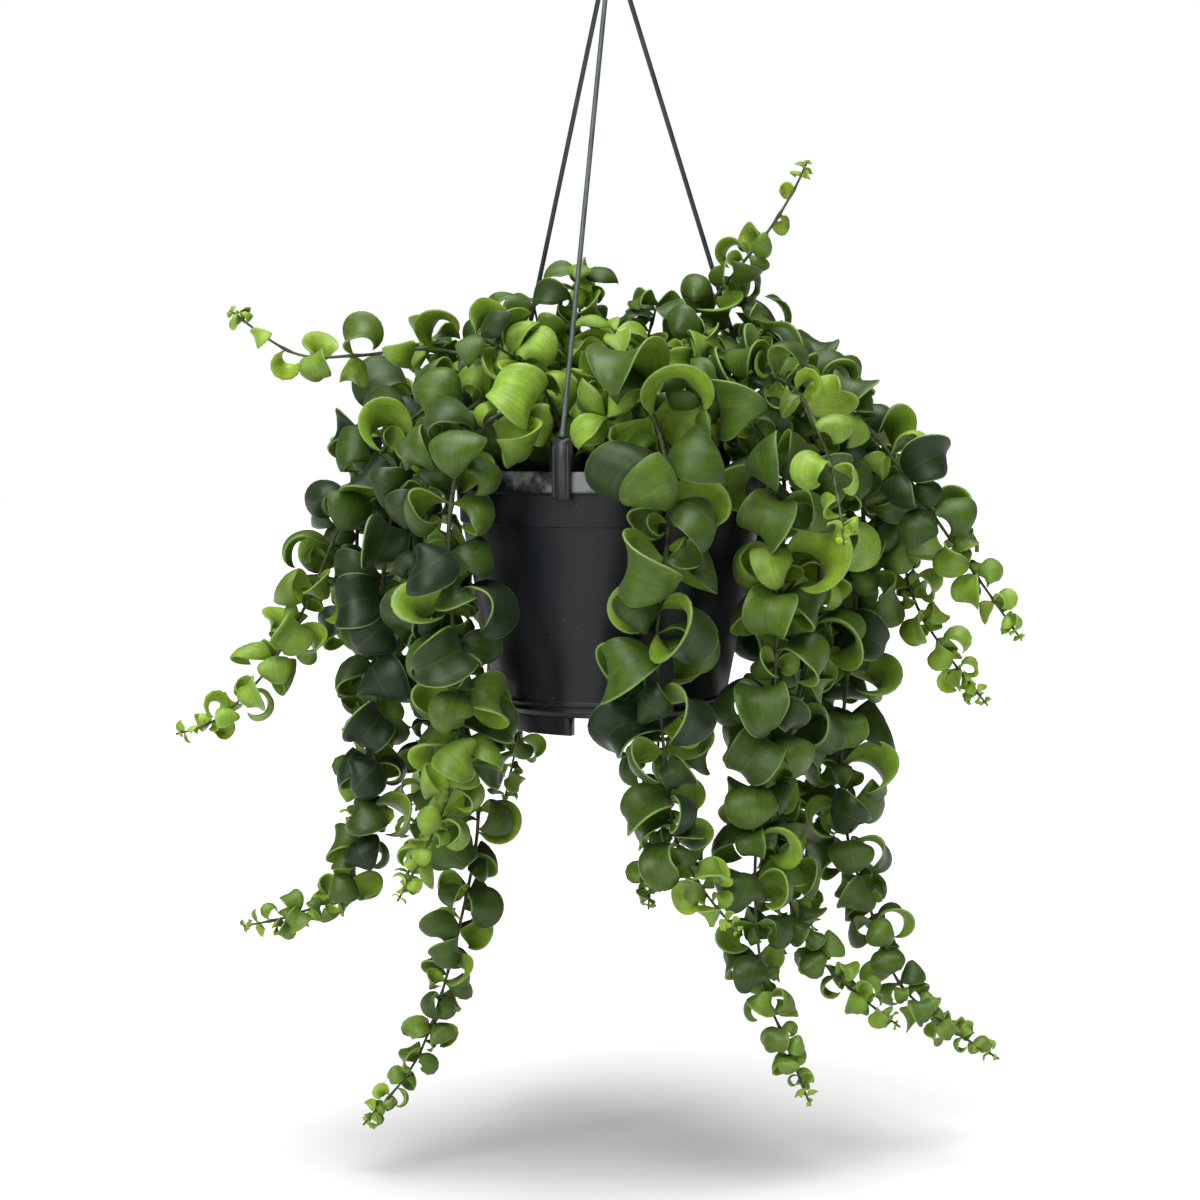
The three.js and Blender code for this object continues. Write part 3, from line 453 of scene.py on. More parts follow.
def settle_leaf(plan, owner, room, clearance=CLEARANCE, own_share=OWN_SHARE):
    """The leaf where it clears everything else, turned or shrunk where it must be, or None."""
    for degrees, scale, curl_share in TRIES:
        tried = dict(plan, curl=plan["curl"] * curl_share, length=plan["length"] * scale,
                     width=plan["width"] * scale)
        axes = leaf_axes(tried, math.radians(degrees))
        if not runs_on(tried, axes):
            continue
        stations = leaf_stations(tried, axes, SAMPLE_STEPS)
        samples = blade_points(stations, tried["arch"], ACROSS_SAMPLES)
        samples = samples.reshape(-1, 3)
        own = np.full(len(samples), min(OWN_CLEARANCE, own_share * tried["length"]))
        own[:ROOT_SAMPLES] = 0
        if clear_of_pot(samples) and room.is_clear(samples, owner, clearance, own):
            room.add(samples, owner)
            return dict(tried, axes=axes)
    return None


# Strand and clip places, and the points that keep leaves away from them and from the stems
STRAND_SPANS = 120
STRAND_CLUMP = 11
ROUTE_CLUMP = 12
ROUTE_STRIDE = 2
CLIP_ROOM_BOTTOM = -14
CLIP_ROOM_ABOVE = 3
CLIP_ROOM_STRIDE = 2
CLIP_ROOM_DEPTHS = (-7, -4, 0, 3)
CLIP_ROOM_TURNS = (-3.5, 0, 3.5)


def clip_point(angle, radius, height):
    turn = math.radians(angle)
    return np.array([radius * math.sin(turn), -radius * math.cos(turn), height])


def strand_ends(angle):
    return (clip_point(angle, CLIP_REACH - 1, CLIP_TOP + GAP),
            clip_point(angle, STRAND_TOP_CIRCLE, BOSS_BOTTOM - GAP))


def reserve_hanger(room):
    for angle in CLIP_ANGLES:
        low, high = strand_ends(angle)
        line = low + (high - low) * (np.arange(STRAND_SPANS + 1) / STRAND_SPANS)[:, None]
        for start in range(0, STRAND_SPANS + 1, STRAND_CLUMP):
            room.add(line[start:start + STRAND_CLUMP], "hanger")
        block = [clip_point(angle + turn, CLIP_REACH + depth, height)
                 for height in range(CLIP_ROOM_BOTTOM, CLIP_TOP + CLIP_ROOM_ABOVE, CLIP_ROOM_STRIDE)
                 for depth in CLIP_ROOM_DEPTHS for turn in CLIP_ROOM_TURNS]
        room.add(np.array(block), "hanger")


def lay_out_stems():
    """Every leafy stem of the part: its route, its nodes and the leaves that fit."""
    room = Room()
    reserve_hanger(room)
    stems = []
    for index, (name, leaf, pitch, points) in enumerate(ROUTES):
        route = Route(points)
        distances = np.arange(0, route.length, ROUTE_STRIDE)
        line = np.array([route.at(distance) for distance in distances])
        for start in range(0, len(line), ROUTE_CLUMP):
            room.add(line[start:start + ROUTE_CLUMP], name)
        seed = (LAYOUT_SEEDS[0] + index * LAYOUT_SEEDS[1]) * LAYOUT_SEED_FACTOR
        random = SeededRandom(seed)
        stems.append({"name": name, "leaf": leaf, "pitch": pitch, "route": route,
                      "random": random, "spin": random.between(0, math.pi), "leaves": []})
    for stem in stems:
        stem["nodes"] = leaf_nodes(stem)
        for index, node in enumerate(stem["nodes"]):
            for face in (0, 2) if index % 2 == 0 else (1, 3):
                angle = stem["spin"] + face * math.pi / 2
                plan = leaf_plan(stem, node, angle, stem["random"])
                if node["size"] >= LARGE_LEAF or face == index % 4:
                    leaf = settle_leaf(plan, stem["name"], room)
                    if leaf:
                        stem["leaves"].append(leaf)
    return stems, room


# How far along its stem the young, lime leaves begin, and how dark its grown leaves are
YOUNG_FROM = {"vine_front_left": 0.66, "vine_front": 0.86, "shoot_front_right": 0.5,
              "shoot_upper_left": 0.6, "shoot_upper_right": 0.7, "vine_outer_left": 0.55,
              "vine_outer_right": 0.55, "vine_spread_right": 0.7}
YOUNG_FROM_ELSEWHERE = 0.82
YOUTH_ELSEWHERE = 0.6
STEM_TONES = {"vine_dark_left": 0.0, "vine_front": 0.4, "vine_long_left": 0.3,
              "vine_front_left": 0.25, "vine_left_side": 0.1, "vine_far_left": 0.1,
              "vine_rear_left": 0.15}
STEM_TONE_ELSEWHERE = 0.5
CROWN_YOUNG_FROM = 0.995
CROWN_LIME_SHARE = 0.12
YOUTH_POWER = 0.7
PATCH_YOUTH = (0.5, 0.95)
YOUTH_SPREAD = (-0.14, 0.14)
TONE_SPREAD = (-0.45, 0.45)
# Places on the front where the leaves are lime: x, z and the reach of the patch
LIME_PLACES = ((-44, 34, 21), (2, 53, 15), (43, 48, 12), (90, 6, 13), (136, 12, 13),
               (-97, 52, 13), (0, 18, 9), (38, 20, 8), (94, -36, 20), (-129, -124, 10))
LIME_BEHIND = 25
# Rounds of added leaves: seed, share of the full size and of the full curl, clearance, and
# places between two nodes
FILL_PASSES = ((52361, 1, 1, 2.3, (0, 0.5)), (61657, 0.66, 1, 1.7, (0.25, 0.75, 0.5)),
               (70981, 0.75, 0.5, 1.2, (0.1, 0.4, 0.65, 0.9)))
CROWN_PASS = 2
CROWN_LEAST_LEAF = 25
FILL_OWN_SHARE = 0.1
# Leaves at the tips of the crown: length and distance back from the tip
CROWN_TIP_LEAVES = ((26, 1), (24, 4), (28, 7), (30, 11))
CROWN_TIP_CLEARANCE = 1.2
CROWN_TIP_CURL = 0.45
# Leaves at the other tips: how many pairs, how far apart, and how large
TIP_PAIRS = 3
TIP_FIRST_BACK = 1.5
TIP_PITCH = 3.2
TIP_FIRST_LENGTH = 5
TIP_LENGTH_STEP = 2.2
TIP_CURL = 0.5
TIP_RISE = 0.35
# Shoots that stay sparse past this share of their length
SPARSE_FROM = {"shoot_upper_left": 0.5, "shoot_upper_right": 0.75, "shoot_front_right": 0.6}


def extra_site(stem, distance, last_across):
    return {"distance": distance, "size": growth_at(stem, distance),
            "axes": cross_axes(stem["route"], distance, last_across),
            "centre": stem["route"].at(distance)}


def fill_in(stems, room):
    """Adds the leaves between the part's own ones, wherever they find room."""
    for number, (first_seed, size_share, curl, clearance, offsets) in enumerate(FILL_PASSES):
        for index, stem in enumerate(stems):
            if number == CROWN_PASS and not stem["name"].startswith("crown"):
                continue
            random = SeededRandom(first_seed + index * FILL_SEED_STEP)
            dense = stem["route"].length * SPARSE_FROM.get(stem["name"], 1)
            for step, node in enumerate(stem["nodes"][:-1]):
                gap = stem["nodes"][step + 1]["distance"] - node["distance"]
                for offset in offsets:
                    site = extra_site(stem, node["distance"] + offset * gap,
                                      node["axes"]["across"])
                    site["size"] *= size_share
                    if stem["name"].startswith("crown"):
                        site["size"] = max(site["size"], CROWN_LEAST_LEAF)
                    if site["distance"] < dense:
                        fill_site(stem, site, (step + 1) % 2 + offset, random, room,
                                  clearance, curl)


def fill_site(stem, site, first_face, random, room, clearance, curl_share):
    """A pair of opposite leaves at one place on a stem, each where it finds room."""
    for face in (first_face, first_face + 2):
        plan = leaf_plan(stem, site, stem["spin"] + face * math.pi / 2, random)
        plan["curl"] *= curl_share
        leaf = settle_leaf(plan, stem["name"], room, clearance, FILL_OWN_SHARE)
        if leaf:
            stem["leaves"].append(leaf)


def add_tip_leaves(stems, room):
    """Small young leaves that crowd the growing tip of every stem, larger in the crown."""
    for index, stem in enumerate(stems):
        random = SeededRandom(TIP_SEEDS[0] + index * TIP_SEEDS[1])
        across = stem["nodes"][-1]["axes"]["across"]
        length = stem["route"].length
        if stem["name"].startswith("crown"):
            for size, back in CROWN_TIP_LEAVES:
                site = extra_site(stem, length - back, across)
                site["size"] = size
                fill_site(stem, site, back, random, room, CROWN_TIP_CLEARANCE,
                          CROWN_TIP_CURL)
            continue
        for step in range(TIP_PAIRS):
            site = extra_site(stem, length - TIP_FIRST_BACK - TIP_PITCH * step, across)
            site["size"] = TIP_FIRST_LENGTH + TIP_LENGTH_STEP * step
            for side in (0, math.pi):
                angle = stem["spin"] + step * math.pi / 2 + side
                plan = leaf_plan(stem, site, angle, random)
                plan["curl"] *= TIP_CURL
                plan["rise"] += TIP_RISE
                stem["leaves"].append(dict(plan, axes=leaf_axes(plan, 0)))


def in_lime_place(point):
    return point[1] < LIME_BEHIND and any(
        math.hypot(point[0] - x, point[2] - z) < reach for x, z, reach in LIME_PLACES)


def colour_leaves(stems):
    """Gives every leaf its youth, from dark to lime, and its tone among the grown ones."""
    for index, stem in enumerate(stems):
        random = SeededRandom(COLOUR_SEEDS[0] + index * COLOUR_SEEDS[1])
        in_crown = stem["name"].startswith("crown")
        elsewhere = CROWN_YOUNG_FROM if in_crown else YOUNG_FROM_ELSEWHERE
        young_from = YOUNG_FROM.get(stem["name"], elsewhere)
        tone = STEM_TONES.get(stem["name"], STEM_TONE_ELSEWHERE)
        for leaf in stem["leaves"]:
            share = leaf["distance"] / stem["route"].length
            youth = clamp((share - young_from) / (1 - young_from), 0, 1) ** YOUTH_POWER
            if stem["name"] not in YOUNG_FROM:
                youth *= YOUTH_ELSEWHERE
            if (in_crown and random.next() < CROWN_LIME_SHARE) or in_lime_place(leaf["root"]):
                youth = max(youth, random.between(*PATCH_YOUTH))
            leaf["youth"] = clamp(youth + random.between(*YOUTH_SPREAD), 0, 1)
            leaf["tone"] = clamp(tone + random.between(*TONE_SPREAD), 0, 1)
            leaf["phase"] = random.between(0, 2 * math.pi)


# Meshes
class Surface:
    """Points, faces, colours and materials of a piece as it is put together."""

    def __init__(self):
        self.points, self.faces, self.blades, self.growths, self.materials = [], [], [], [], []
        self.count = 0

    def add(self, points, faces, material=0, blade=None, growth=(0, 0, 0)):
        points = np.asarray(points, float).reshape(-1, 3)
        self.points.append(points)
        self.faces.extend([[corner + self.count for corner in face] for face in faces])
        self.materials.extend([material] * len(faces))
        self.blades.append(np.zeros((len(points), 3)) if blade is None else blade)
        self.growths.append(np.tile(np.asarray(growth, float), (len(points), 1)))
        self.count += len(points)

    def build(self, name, materials, painted=False):
        """Makes the object, in the frame and smooth."""
        mesh = bpy.data.meshes.new(name)
        mesh.from_pydata(to_frame(np.vstack(self.points)).tolist(), [], self.faces)
        for material in materials:
            mesh.materials.append(material)
        mesh.polygons.foreach_set("material_index", self.materials)
        mesh.polygons.foreach_set("use_smooth", [True] * len(mesh.polygons))
        if painted:
            for label, rows in (("blade", self.blades), ("growth", self.growths)):
                layer = mesh.attributes.new(label, "FLOAT_VECTOR", "POINT")
                layer.data.foreach_set("vector", np.vstack(rows).astype(np.float32).ravel())
        mesh.update()
        piece = bpy.data.objects.new(name, mesh)
        bpy.context.collection.objects.link(piece)
        return piece


def turn_faces_out(piece, merge=1e-7):
    """Joins doubled points and turns every face outwards."""
    mesh = bmesh.new()
    mesh.from_mesh(piece.data)
    bmesh.ops.remove_doubles(mesh, verts=mesh.verts, dist=merge)
    bmesh.ops.recalc_face_normals(mesh, faces=mesh.faces)
    mesh.to_mesh(piece.data)
    mesh.free()
    return piece


def ring_faces(rings, size, start=0):
    """Four-sided faces between rings of points that follow each other."""
    return [[start + ring * size + corner, start + ring * size + (corner + 1) % size,
             start + (ring + 1) * size + (corner + 1) % size, start + (ring + 1) * size + corner]
            for ring in range(rings - 1) for corner in range(size)]


def capped_rings(rings, first, last):
    """Points and faces of a closed skin over rings, with a point to close each end."""
    count, size = rings.shape[:2]
    points = np.vstack((rings.reshape(-1, 3), [first], [last]))
    faces = ring_faces(count, size)
    start, end = count * size, count * size + 1
    for corner in range(size):
        following = (corner + 1) % size
        faces.append([start, following, corner])
        faces.append([end, (count - 1) * size + corner, (count - 1) * size + following])
    return points, faces


TUBE_SIDES = 12
TUBE_FIRST_ACROSS = (0.31, 0.95, 0.07)


def tube(line, radii, sides=TUBE_SIDES):
    """Rings of points round a line, each turned as little as it can be from the last."""
    line = np.asarray(line, float)
    radii = np.broadcast_to(radii, len(line))
    across = np.array(TUBE_FIRST_ACROSS)
    rings = []
    for index, point in enumerate(line):
        along = unit(line[min(index + 1, len(line) - 1)] - line[max(index - 1, 0)])
        across = unit(across - along * (across @ along))
        other = np.cross(along, across)
        angles = np.arange(sides) * 2 * math.pi / sides
        rings.append(point + radii[index] * (np.cos(angles)[:, None] * across
                                             + np.sin(angles)[:, None] * other))
    return capped_rings(np.array(rings), line[0], line[-1])


def rounded(profile, radius, steps=4):
    """A profile whose corners are rounded; its two end points stay."""
    profile = [np.array(point, float) for point in profile]
    smooth = [profile[0]]
    for before, corner, after in zip(profile, profile[1:], profile[2:]):
        back, ahead = before - corner, after - corner
        reach = min(radius, 0.45 * np.linalg.norm(back), 0.45 * np.linalg.norm(ahead))
        start, end = corner + unit(back) * reach, corner + unit(ahead) * reach
        for step in range(steps + 1):
            share = step / steps
            smooth.append(mix(mix(start, corner, share), mix(corner, end, share), share))
    smooth.append(profile[-1])
    return np.array(smooth)


def lathed(profile, sides, start=0.0, sweep=2 * math.pi):
    """Points and faces of a profile turned about the pot's axis, wholly or in part."""
    whole = sweep >= 2 * math.pi - 1e-6
    angles = start + sweep * np.arange(sides if whole else sides + 1) / sides
    rings = np.array([np.column_stack((profile[:, 0] * math.cos(angle),
                                       profile[:, 0] * math.sin(angle), profile[:, 1]))
                      for angle in angles])
    count, size = rings.shape[:2]
    faces = []
    for ring in range(count if whole else count - 1):
        following = (ring + 1) % count
        for corner in range(size - 1):
            faces.append([ring * size + corner, following * size + corner,
                          following * size + corner + 1, ring * size + corner + 1])
    return rings.reshape(-1, 3), faces


def place(piece, slot, *nodes):
    """Puts the piece on the part's one body, for the nodes it replaces; the slot is not used."""
    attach(piece, BODY)
    if nodes:
        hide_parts(*nodes)
    return piece


# Leaves and stems
LEAF_COLUMNS = np.array([-1, -0.68, -0.32, 0, 0.32, 0.68, 1])
GROOVE = 0.22
GROOVE_BELOW = 0.7
STALK_HALF_WIDTH = 1.0
STALK_END = 0.3
THICK_FROM_LENGTH = 34
LEAST_THICKNESS = 0.4
EDGE_WAVE = 0.034
WAVE_TURNS = 9
ARCH_SHARE = 0.75
SLIM_FROM = 0.45
SLIMMEST = 0.35
THINNER_EDGE = 0.35
RIM_SHARE = 0.9
RIM_ACROSS = 1.08
STEM_RADIUS = 1.35
STEM_TIP_RADIUS = 0.5
STEM_STRIDE = 2.5
STEM_LEAST_RINGS = 8
STEM_SIDES = 8
SWELLING = 0.4
SWELLING_REACH = 2.2


def pointed_outline(shares):
    """Half the width of a fine blade along its midrib, drawn out to a sharper tip."""
    return np.maximum(0, np.sin(math.pi * shares ** 0.95)) ** 1.15


def fine_leaf(leaf, thickness):
    """Points, faces and blade coordinates of one thick curled leaf."""
    gap = 2 if leaf["length"] > LARGE_LEAF else 4
    steps = np.arange(0, MIDRIB_STEPS + 1, gap)
    points, normals, sides, _ = leaf_stations(leaf, leaf["axes"], steps)
    shares = MIDRIB_SHARES[steps]
    halves = 0.5 * leaf["width"] * pointed_outline(shares)
    scale = clamp(leaf["length"] / THICK_FROM_LENGTH, LEAST_THICKNESS, 1)
    stalk = STALK_HALF_WIDTH * scale * np.clip(1 - shares / STALK_END, 0, 1)
    halves = np.maximum(halves, stalk)
    arch, columns = leaf["arch"] * ARCH_SHARE, LEAF_COLUMNS
    bends = abs(arch) * columns
    sign = math.copysign(1, arch)
    middles = blade_points((points, normals, sides, halves), arch, columns)
    outs = (normals[:, None] * np.cos(bends)[None, :, None]
            + sides[:, None] * (np.sin(bends) * sign)[None, :, None])
    wave = (EDGE_WAVE * leaf["length"] * np.sin(leaf["phase"] + WAVE_TURNS * shares)[:, None]
            * np.abs(columns)[None] ** 2 * np.sign(columns)[None])
    middles = middles + outs * (wave * (halves / halves.max())[:, None])[..., None]
    slim = np.clip(halves / (SLIM_FROM * halves.max()), SLIMMEST, 1)
    depth = 0.5 * thickness * scale * slim[:, None] * (1 - THINNER_EDGE * columns ** 2)[None]
    groove = GROOVE * scale * slim * (columns == 0)[:, None]
    upper = middles + outs * (depth - groove.T)[..., None]
    lower = middles - outs * (depth + GROOVE_BELOW * groove.T)[..., None]
    rims = []
    for column, direction in ((-1, -1), (0, 1)):
        bend = bends[column] if direction > 0 else bends[0]
        tangent = sides * math.cos(bend) - normals * (math.sin(bend) * sign)
        edge = middles[:, -1] if direction > 0 else middles[:, 0]
        rims.append(edge + direction * tangent * depth[:, :1] * RIM_SHARE)
    rings = np.concatenate((upper, rims[1][:, None], lower[:, ::-1], rims[0][:, None]), axis=1)
    made, faces = capped_rings(rings[:-1], points[0], points[-1])
    across = np.concatenate((columns, [RIM_ACROSS], columns[::-1], [-RIM_ACROSS]))
    under = np.concatenate((np.zeros(len(columns)), [0.5], np.ones(len(columns)), [0.5]))
    rows = [np.column_stack((np.full(len(across), share), across, under))
            for share in shares[:-1]]
    blade = np.vstack(rows + [[[0, 0, 0.5]], [[1, 0, 0.5]]])
    return made, faces, blade


def stem_tube(stem):
    """Points and faces of a slim stem that swells a little where leaves grow."""
    route = stem["route"]
    distances = np.linspace(0, route.length, max(STEM_LEAST_RINGS, int(route.length / STEM_STRIDE)))
    radii = mix(STEM_RADIUS, STEM_TIP_RADIUS, (distances / route.length) ** 1.2)
    for node in stem["nodes"]:
        near = ((distances - node["distance"]) / SWELLING_REACH) ** 2
        radii = radii + SWELLING * np.exp(-near)
    return tube([route.at(distance) for distance in distances], radii, STEM_SIDES)


def make_leafy_stem(stem, thickness, materials):
    surface = Surface()
    points, faces = stem_tube(stem)
    surface.add(points, faces, 1, growth=(0.3, 0.5, 0))
    for leaf in stem["leaves"]:
        points, faces, blade = fine_leaf(leaf, thickness)
        surface.add(points, faces, 0, blade, (leaf["youth"], leaf["tone"], leaf["phase"]))
    piece = surface.build(stem["name"] + "_shoot", materials, painted=True)
    return place(piece, "foliage", stem["name"])


# Materials: noise sizes are per metre, and a pair is the two ends of a range
LEAF_MOTTLE = 140
LEAF_GLOSS_PATCHES = 60
LEAF_GRAIN = 900
LEAF_GRAIN_STRENGTH = 0.25
LEAF_GRAIN_DEPTH = 0.0004
LEAF_STREAK_STRETCH = (2.2, 12, 3)
LEAF_ROUGHNESS = (0.38, 0.54)
LEAF_MOTTLE_SHADES = (0.8, 1.16)
LEAF_STREAK_SHADES = (0.86, 1.12)
UNDERSIDE_FROM = (0.35, 0.65)
VEIN_HALF_WIDTH = 0.09
VEIN_STRENGTH = 0.05
EDGE_FROM = (0.97, 1.06)
EDGE_STRENGTH = 0.7
BARK_PATCHES = 220
BARK_RINGS = 700
# Paler upright streaks on the pot, painted as faint highlights
POT_HIGHLIGHT_STREAKS = 60
POT_HIGHLIGHT_STRETCH = (1, 1, 0.12)
POT_SPECKS = 620
POT_SPECKS_FROM = (0.73, 0.79)
POT_SPECK_STRENGTH = 0.5
POT_SCUFFS = 48
POT_SCUFFS_FROM = (0.51, 0.66)
POT_SCUFF_STRENGTH = 0.7
POT_ROUGHNESS = (0.33, 0.5)
POT_GRAIN = 1500
POT_DENTS = 45
HANGER_MARKS = 420
HANGER_ROUGHNESS = (0.38, 0.55)
PEAT_CRUMBS = 380
PEAT_FIBRES = 160
PEAT_FIBRE_STRENGTH = 0.5


def start_material(name, **uniform):
    """A new material whose shader takes the given plain values."""
    material = bpy.data.materials.new(name)
    material.use_nodes = True
    shader = material.node_tree.nodes["Principled BSDF"]
    for socket, value in uniform.items():
        shader.inputs[socket.replace("_", " ")].default_value = value
    return material, material.node_tree, shader


def node(tree, kind, inputs, **settings):
    """A node with its settings, its sockets linked or filled in."""
    made = tree.nodes.new(kind)
    for key, value in settings.items():
        setattr(made, key, value)
    for key, value in inputs.items():
        if isinstance(value, bpy.types.NodeSocket):
            tree.links.new(value, made.inputs[key])
        else:
            made.inputs[key].default_value = value
    return made


def arithmetic(tree, operation, first, second=0.0):
    return node(tree, "ShaderNodeMath", {0: first, 1: second}, operation=operation).outputs[0]


def blended(tree, share, first, second, blend="MIX"):
    """A colour between two others."""
    return node(tree, "ShaderNodeMix", {0: share, 6: first, 7: second}, data_type="RGBA",
                blend_type=blend, clamp_factor=True).outputs[2]


def ranged(tree, value, low, high, to_low=0.0, to_high=1.0):
    """A value spread smoothly from one range to another."""
    return node(tree, "ShaderNodeMapRange",
                {"Value": value, "From Min": low, "From Max": high, "To Min": to_low,
                 "To Max": to_high}, interpolation_type="SMOOTHSTEP").outputs["Result"]


def own_place(tree, stretch=(1, 1, 1)):
    """The piece's own coordinates in metres, stretched."""
    spot = tree.nodes.new("ShaderNodeTexCoord").outputs["Object"]
    return node(tree, "ShaderNodeMapping", {"Vector": spot, "Scale": stretch}).outputs[0]


def noise(tree, scale, detail=3.0, roughness=0.55, stretch=(1, 1, 1)):
    return node(tree, "ShaderNodeTexNoise",
                {"Vector": own_place(tree, stretch), "Scale": scale, "Detail": detail,
                 "Roughness": roughness}).outputs["Fac"]


def bumped(tree, shader, height, strength, distance):
    bump = node(tree, "ShaderNodeBump",
                {"Height": height, "Strength": strength, "Distance": distance})
    tree.links.new(bump.outputs["Normal"], shader.inputs["Normal"])


def opaque(colour):
    return (*colour, 1.0)


def leaf_material(settings):
    """Waxy leaf: dark above, yellow-green below, lime when young, with a pale thin edge."""
    material, tree, shader = start_material("waxy_leaf", Specular_IOR_Level=0.32,
                                            Sheen_Weight=0.05)
    growth = node(tree, "ShaderNodeSeparateXYZ", {"Vector": node(
        tree, "ShaderNodeAttribute", {}, attribute_name="growth").outputs["Vector"]})
    along_blade = node(tree, "ShaderNodeAttribute", {}, attribute_name="blade").outputs["Vector"]
    blade = node(tree, "ShaderNodeSeparateXYZ", {"Vector": along_blade})
    youth, tone = growth.outputs[0], growth.outputs[1]
    across = arithmetic(tree, "ABSOLUTE", blade.outputs[1])
    under = ranged(tree, blade.outputs[2], *UNDERSIDE_FROM)
    mottle = noise(tree, LEAF_MOTTLE, 4)
    grown = blended(tree, tone, opaque(settings.dark_leaf), opaque(settings.mid_leaf))
    above = blended(tree, youth, grown, opaque(settings.young_leaf))
    below = blended(tree, youth, opaque(settings.underside), opaque(settings.young_underside))
    below = blended(tree, arithmetic(tree, "MULTIPLY", tone, 0.5), below,
                    opaque(settings.mid_leaf))
    face = blended(tree, under, above, below)
    vein = arithmetic(tree, "MULTIPLY", ranged(tree, across, VEIN_HALF_WIDTH, 0.0),
                      VEIN_STRENGTH)
    face = blended(tree, vein, face, opaque(settings.edge))
    streak_place = node(tree, "ShaderNodeVectorMath", {0: along_blade, 1: LEAF_STREAK_STRETCH},
                        operation="MULTIPLY").outputs[0]
    streaks = node(tree, "ShaderNodeTexNoise", {"Vector": streak_place, "Scale": 1,
                                                "Detail": 3}).outputs["Fac"]
    shading = arithmetic(tree, "MULTIPLY", ranged(tree, mottle, 0.3, 0.7, *LEAF_MOTTLE_SHADES),
                         ranged(tree, streaks, 0.3, 0.7, *LEAF_STREAK_SHADES))
    shaded = node(tree, "ShaderNodeVectorMath", {0: face, "Scale": shading},
                  operation="SCALE").outputs[0]
    edge = arithmetic(tree, "MULTIPLY", ranged(tree, across, *EDGE_FROM), EDGE_STRENGTH)
    colour = blended(tree, edge, shaded, opaque(settings.edge))
    tree.links.new(colour, shader.inputs["Base Color"])
    gloss = ranged(tree, noise(tree, LEAF_GLOSS_PATCHES, 2), 0.3, 0.7, *LEAF_ROUGHNESS)
    tree.links.new(gloss, shader.inputs["Roughness"])
    bumped(tree, shader, noise(tree, LEAF_GRAIN, 3), LEAF_GRAIN_STRENGTH, LEAF_GRAIN_DEPTH)
    return material


def stem_material(settings):
    """Thin brownish green bark of the stems, a little ringed."""
    material, tree, shader = start_material("stem_bark", Roughness=0.62)
    patches = noise(tree, BARK_PATCHES, 4)
    colour = blended(tree, ranged(tree, patches, 0.35, 0.65), opaque(settings.stem_dark),
                     opaque(settings.stem_green))
    tree.links.new(colour, shader.inputs["Base Color"])
    bumped(tree, shader, noise(tree, BARK_RINGS, 3, stretch=(1, 1, 0.4)), 0.5, 0.0006)
    return material


def pot_material(settings):
    """Black moulded plastic with paler upright streaks painted in as faint highlights, dust specks
    and a scuffed rim.
    """
    material, tree, shader = start_material("pot_plastic", Specular_IOR_Level=0.3)
    # Paler upright streaks: painted highlights in the plastic's colour, which also set its roughness
    streaks = noise(tree, POT_HIGHLIGHT_STREAKS, 4, stretch=POT_HIGHLIGHT_STRETCH)
    specks = ranged(tree, noise(tree, POT_SPECKS, 2), *POT_SPECKS_FROM)
    height = node(tree, "ShaderNodeSeparateXYZ", {"Vector": own_place(tree)}).outputs[2]
    rim_low = -(HOOK_BEARING + RIM_BAND_HEIGHT) * MM
    on_rim = ranged(tree, height, rim_low, rim_low + 0.002)
    scuffs = arithmetic(tree, "MULTIPLY", on_rim,
                        ranged(tree, noise(tree, POT_SCUFFS, 5), *POT_SCUFFS_FROM))
    # Painted highlights: the paler upright streaks mixed into the black plastic
    plastic = blended(tree, ranged(tree, streaks, 0.35, 0.7), opaque(settings.plastic),
                      opaque(settings.plastic_highlight))
    plastic = blended(tree, arithmetic(tree, "MULTIPLY", specks, POT_SPECK_STRENGTH), plastic,
                      opaque(settings.dust))
    plastic = blended(tree, arithmetic(tree, "MULTIPLY", scuffs, POT_SCUFF_STRENGTH), plastic,
                      opaque(settings.scuff))
    tree.links.new(plastic, shader.inputs["Base Color"])
    tree.links.new(ranged(tree, streaks, 0.3, 0.75, *POT_ROUGHNESS), shader.inputs["Roughness"])
    grain = blended(tree, 0.5, noise(tree, POT_GRAIN, 2),
                    noise(tree, POT_DENTS, 3, stretch=(1, 1, 0.2)))
    bumped(tree, shader, grain, 0.12, 0.0005)
    return material


def hanger_material(name, light, dark):
    """Moulded plastic of the hanger, with fine lengthwise drawing marks."""
    material, tree, shader = start_material(name)
    marks = noise(tree, HANGER_MARKS, 3, stretch=(1, 1, 0.08))
    colour = blended(tree, ranged(tree, marks, 0.3, 0.7), opaque(dark), opaque(light))
    tree.links.new(colour, shader.inputs["Base Color"])
    tree.links.new(ranged(tree, marks, 0.3, 0.7, *HANGER_ROUGHNESS), shader.inputs["Roughness"])
    bumped(tree, shader, marks, 0.2, 0.0004)
    return material


def soil_material(settings):
    """Dark peat with paler fibres and crumbs."""
    material, tree, shader = start_material("peat", Roughness=0.95, Specular_IOR_Level=0.2)
    crumbs = noise(tree, PEAT_CRUMBS, 6, 0.7)
    fibres = ranged(tree, noise(tree, PEAT_FIBRES, 2, stretch=(1, 0.25, 1)), 0.6, 0.75)
    colour = blended(tree, ranged(tree, crumbs, 0.35, 0.65), opaque(settings.peat),
                     opaque(settings.peat_pale))
    colour = blended(tree, arithmetic(tree, "MULTIPLY", fibres, PEAT_FIBRE_STRENGTH), colour,
                     opaque(settings.fibre))
    tree.links.new(colour, shader.inputs["Base Color"])
    bumped(tree, shader, crumbs, 0.8, 0.002)
    return material


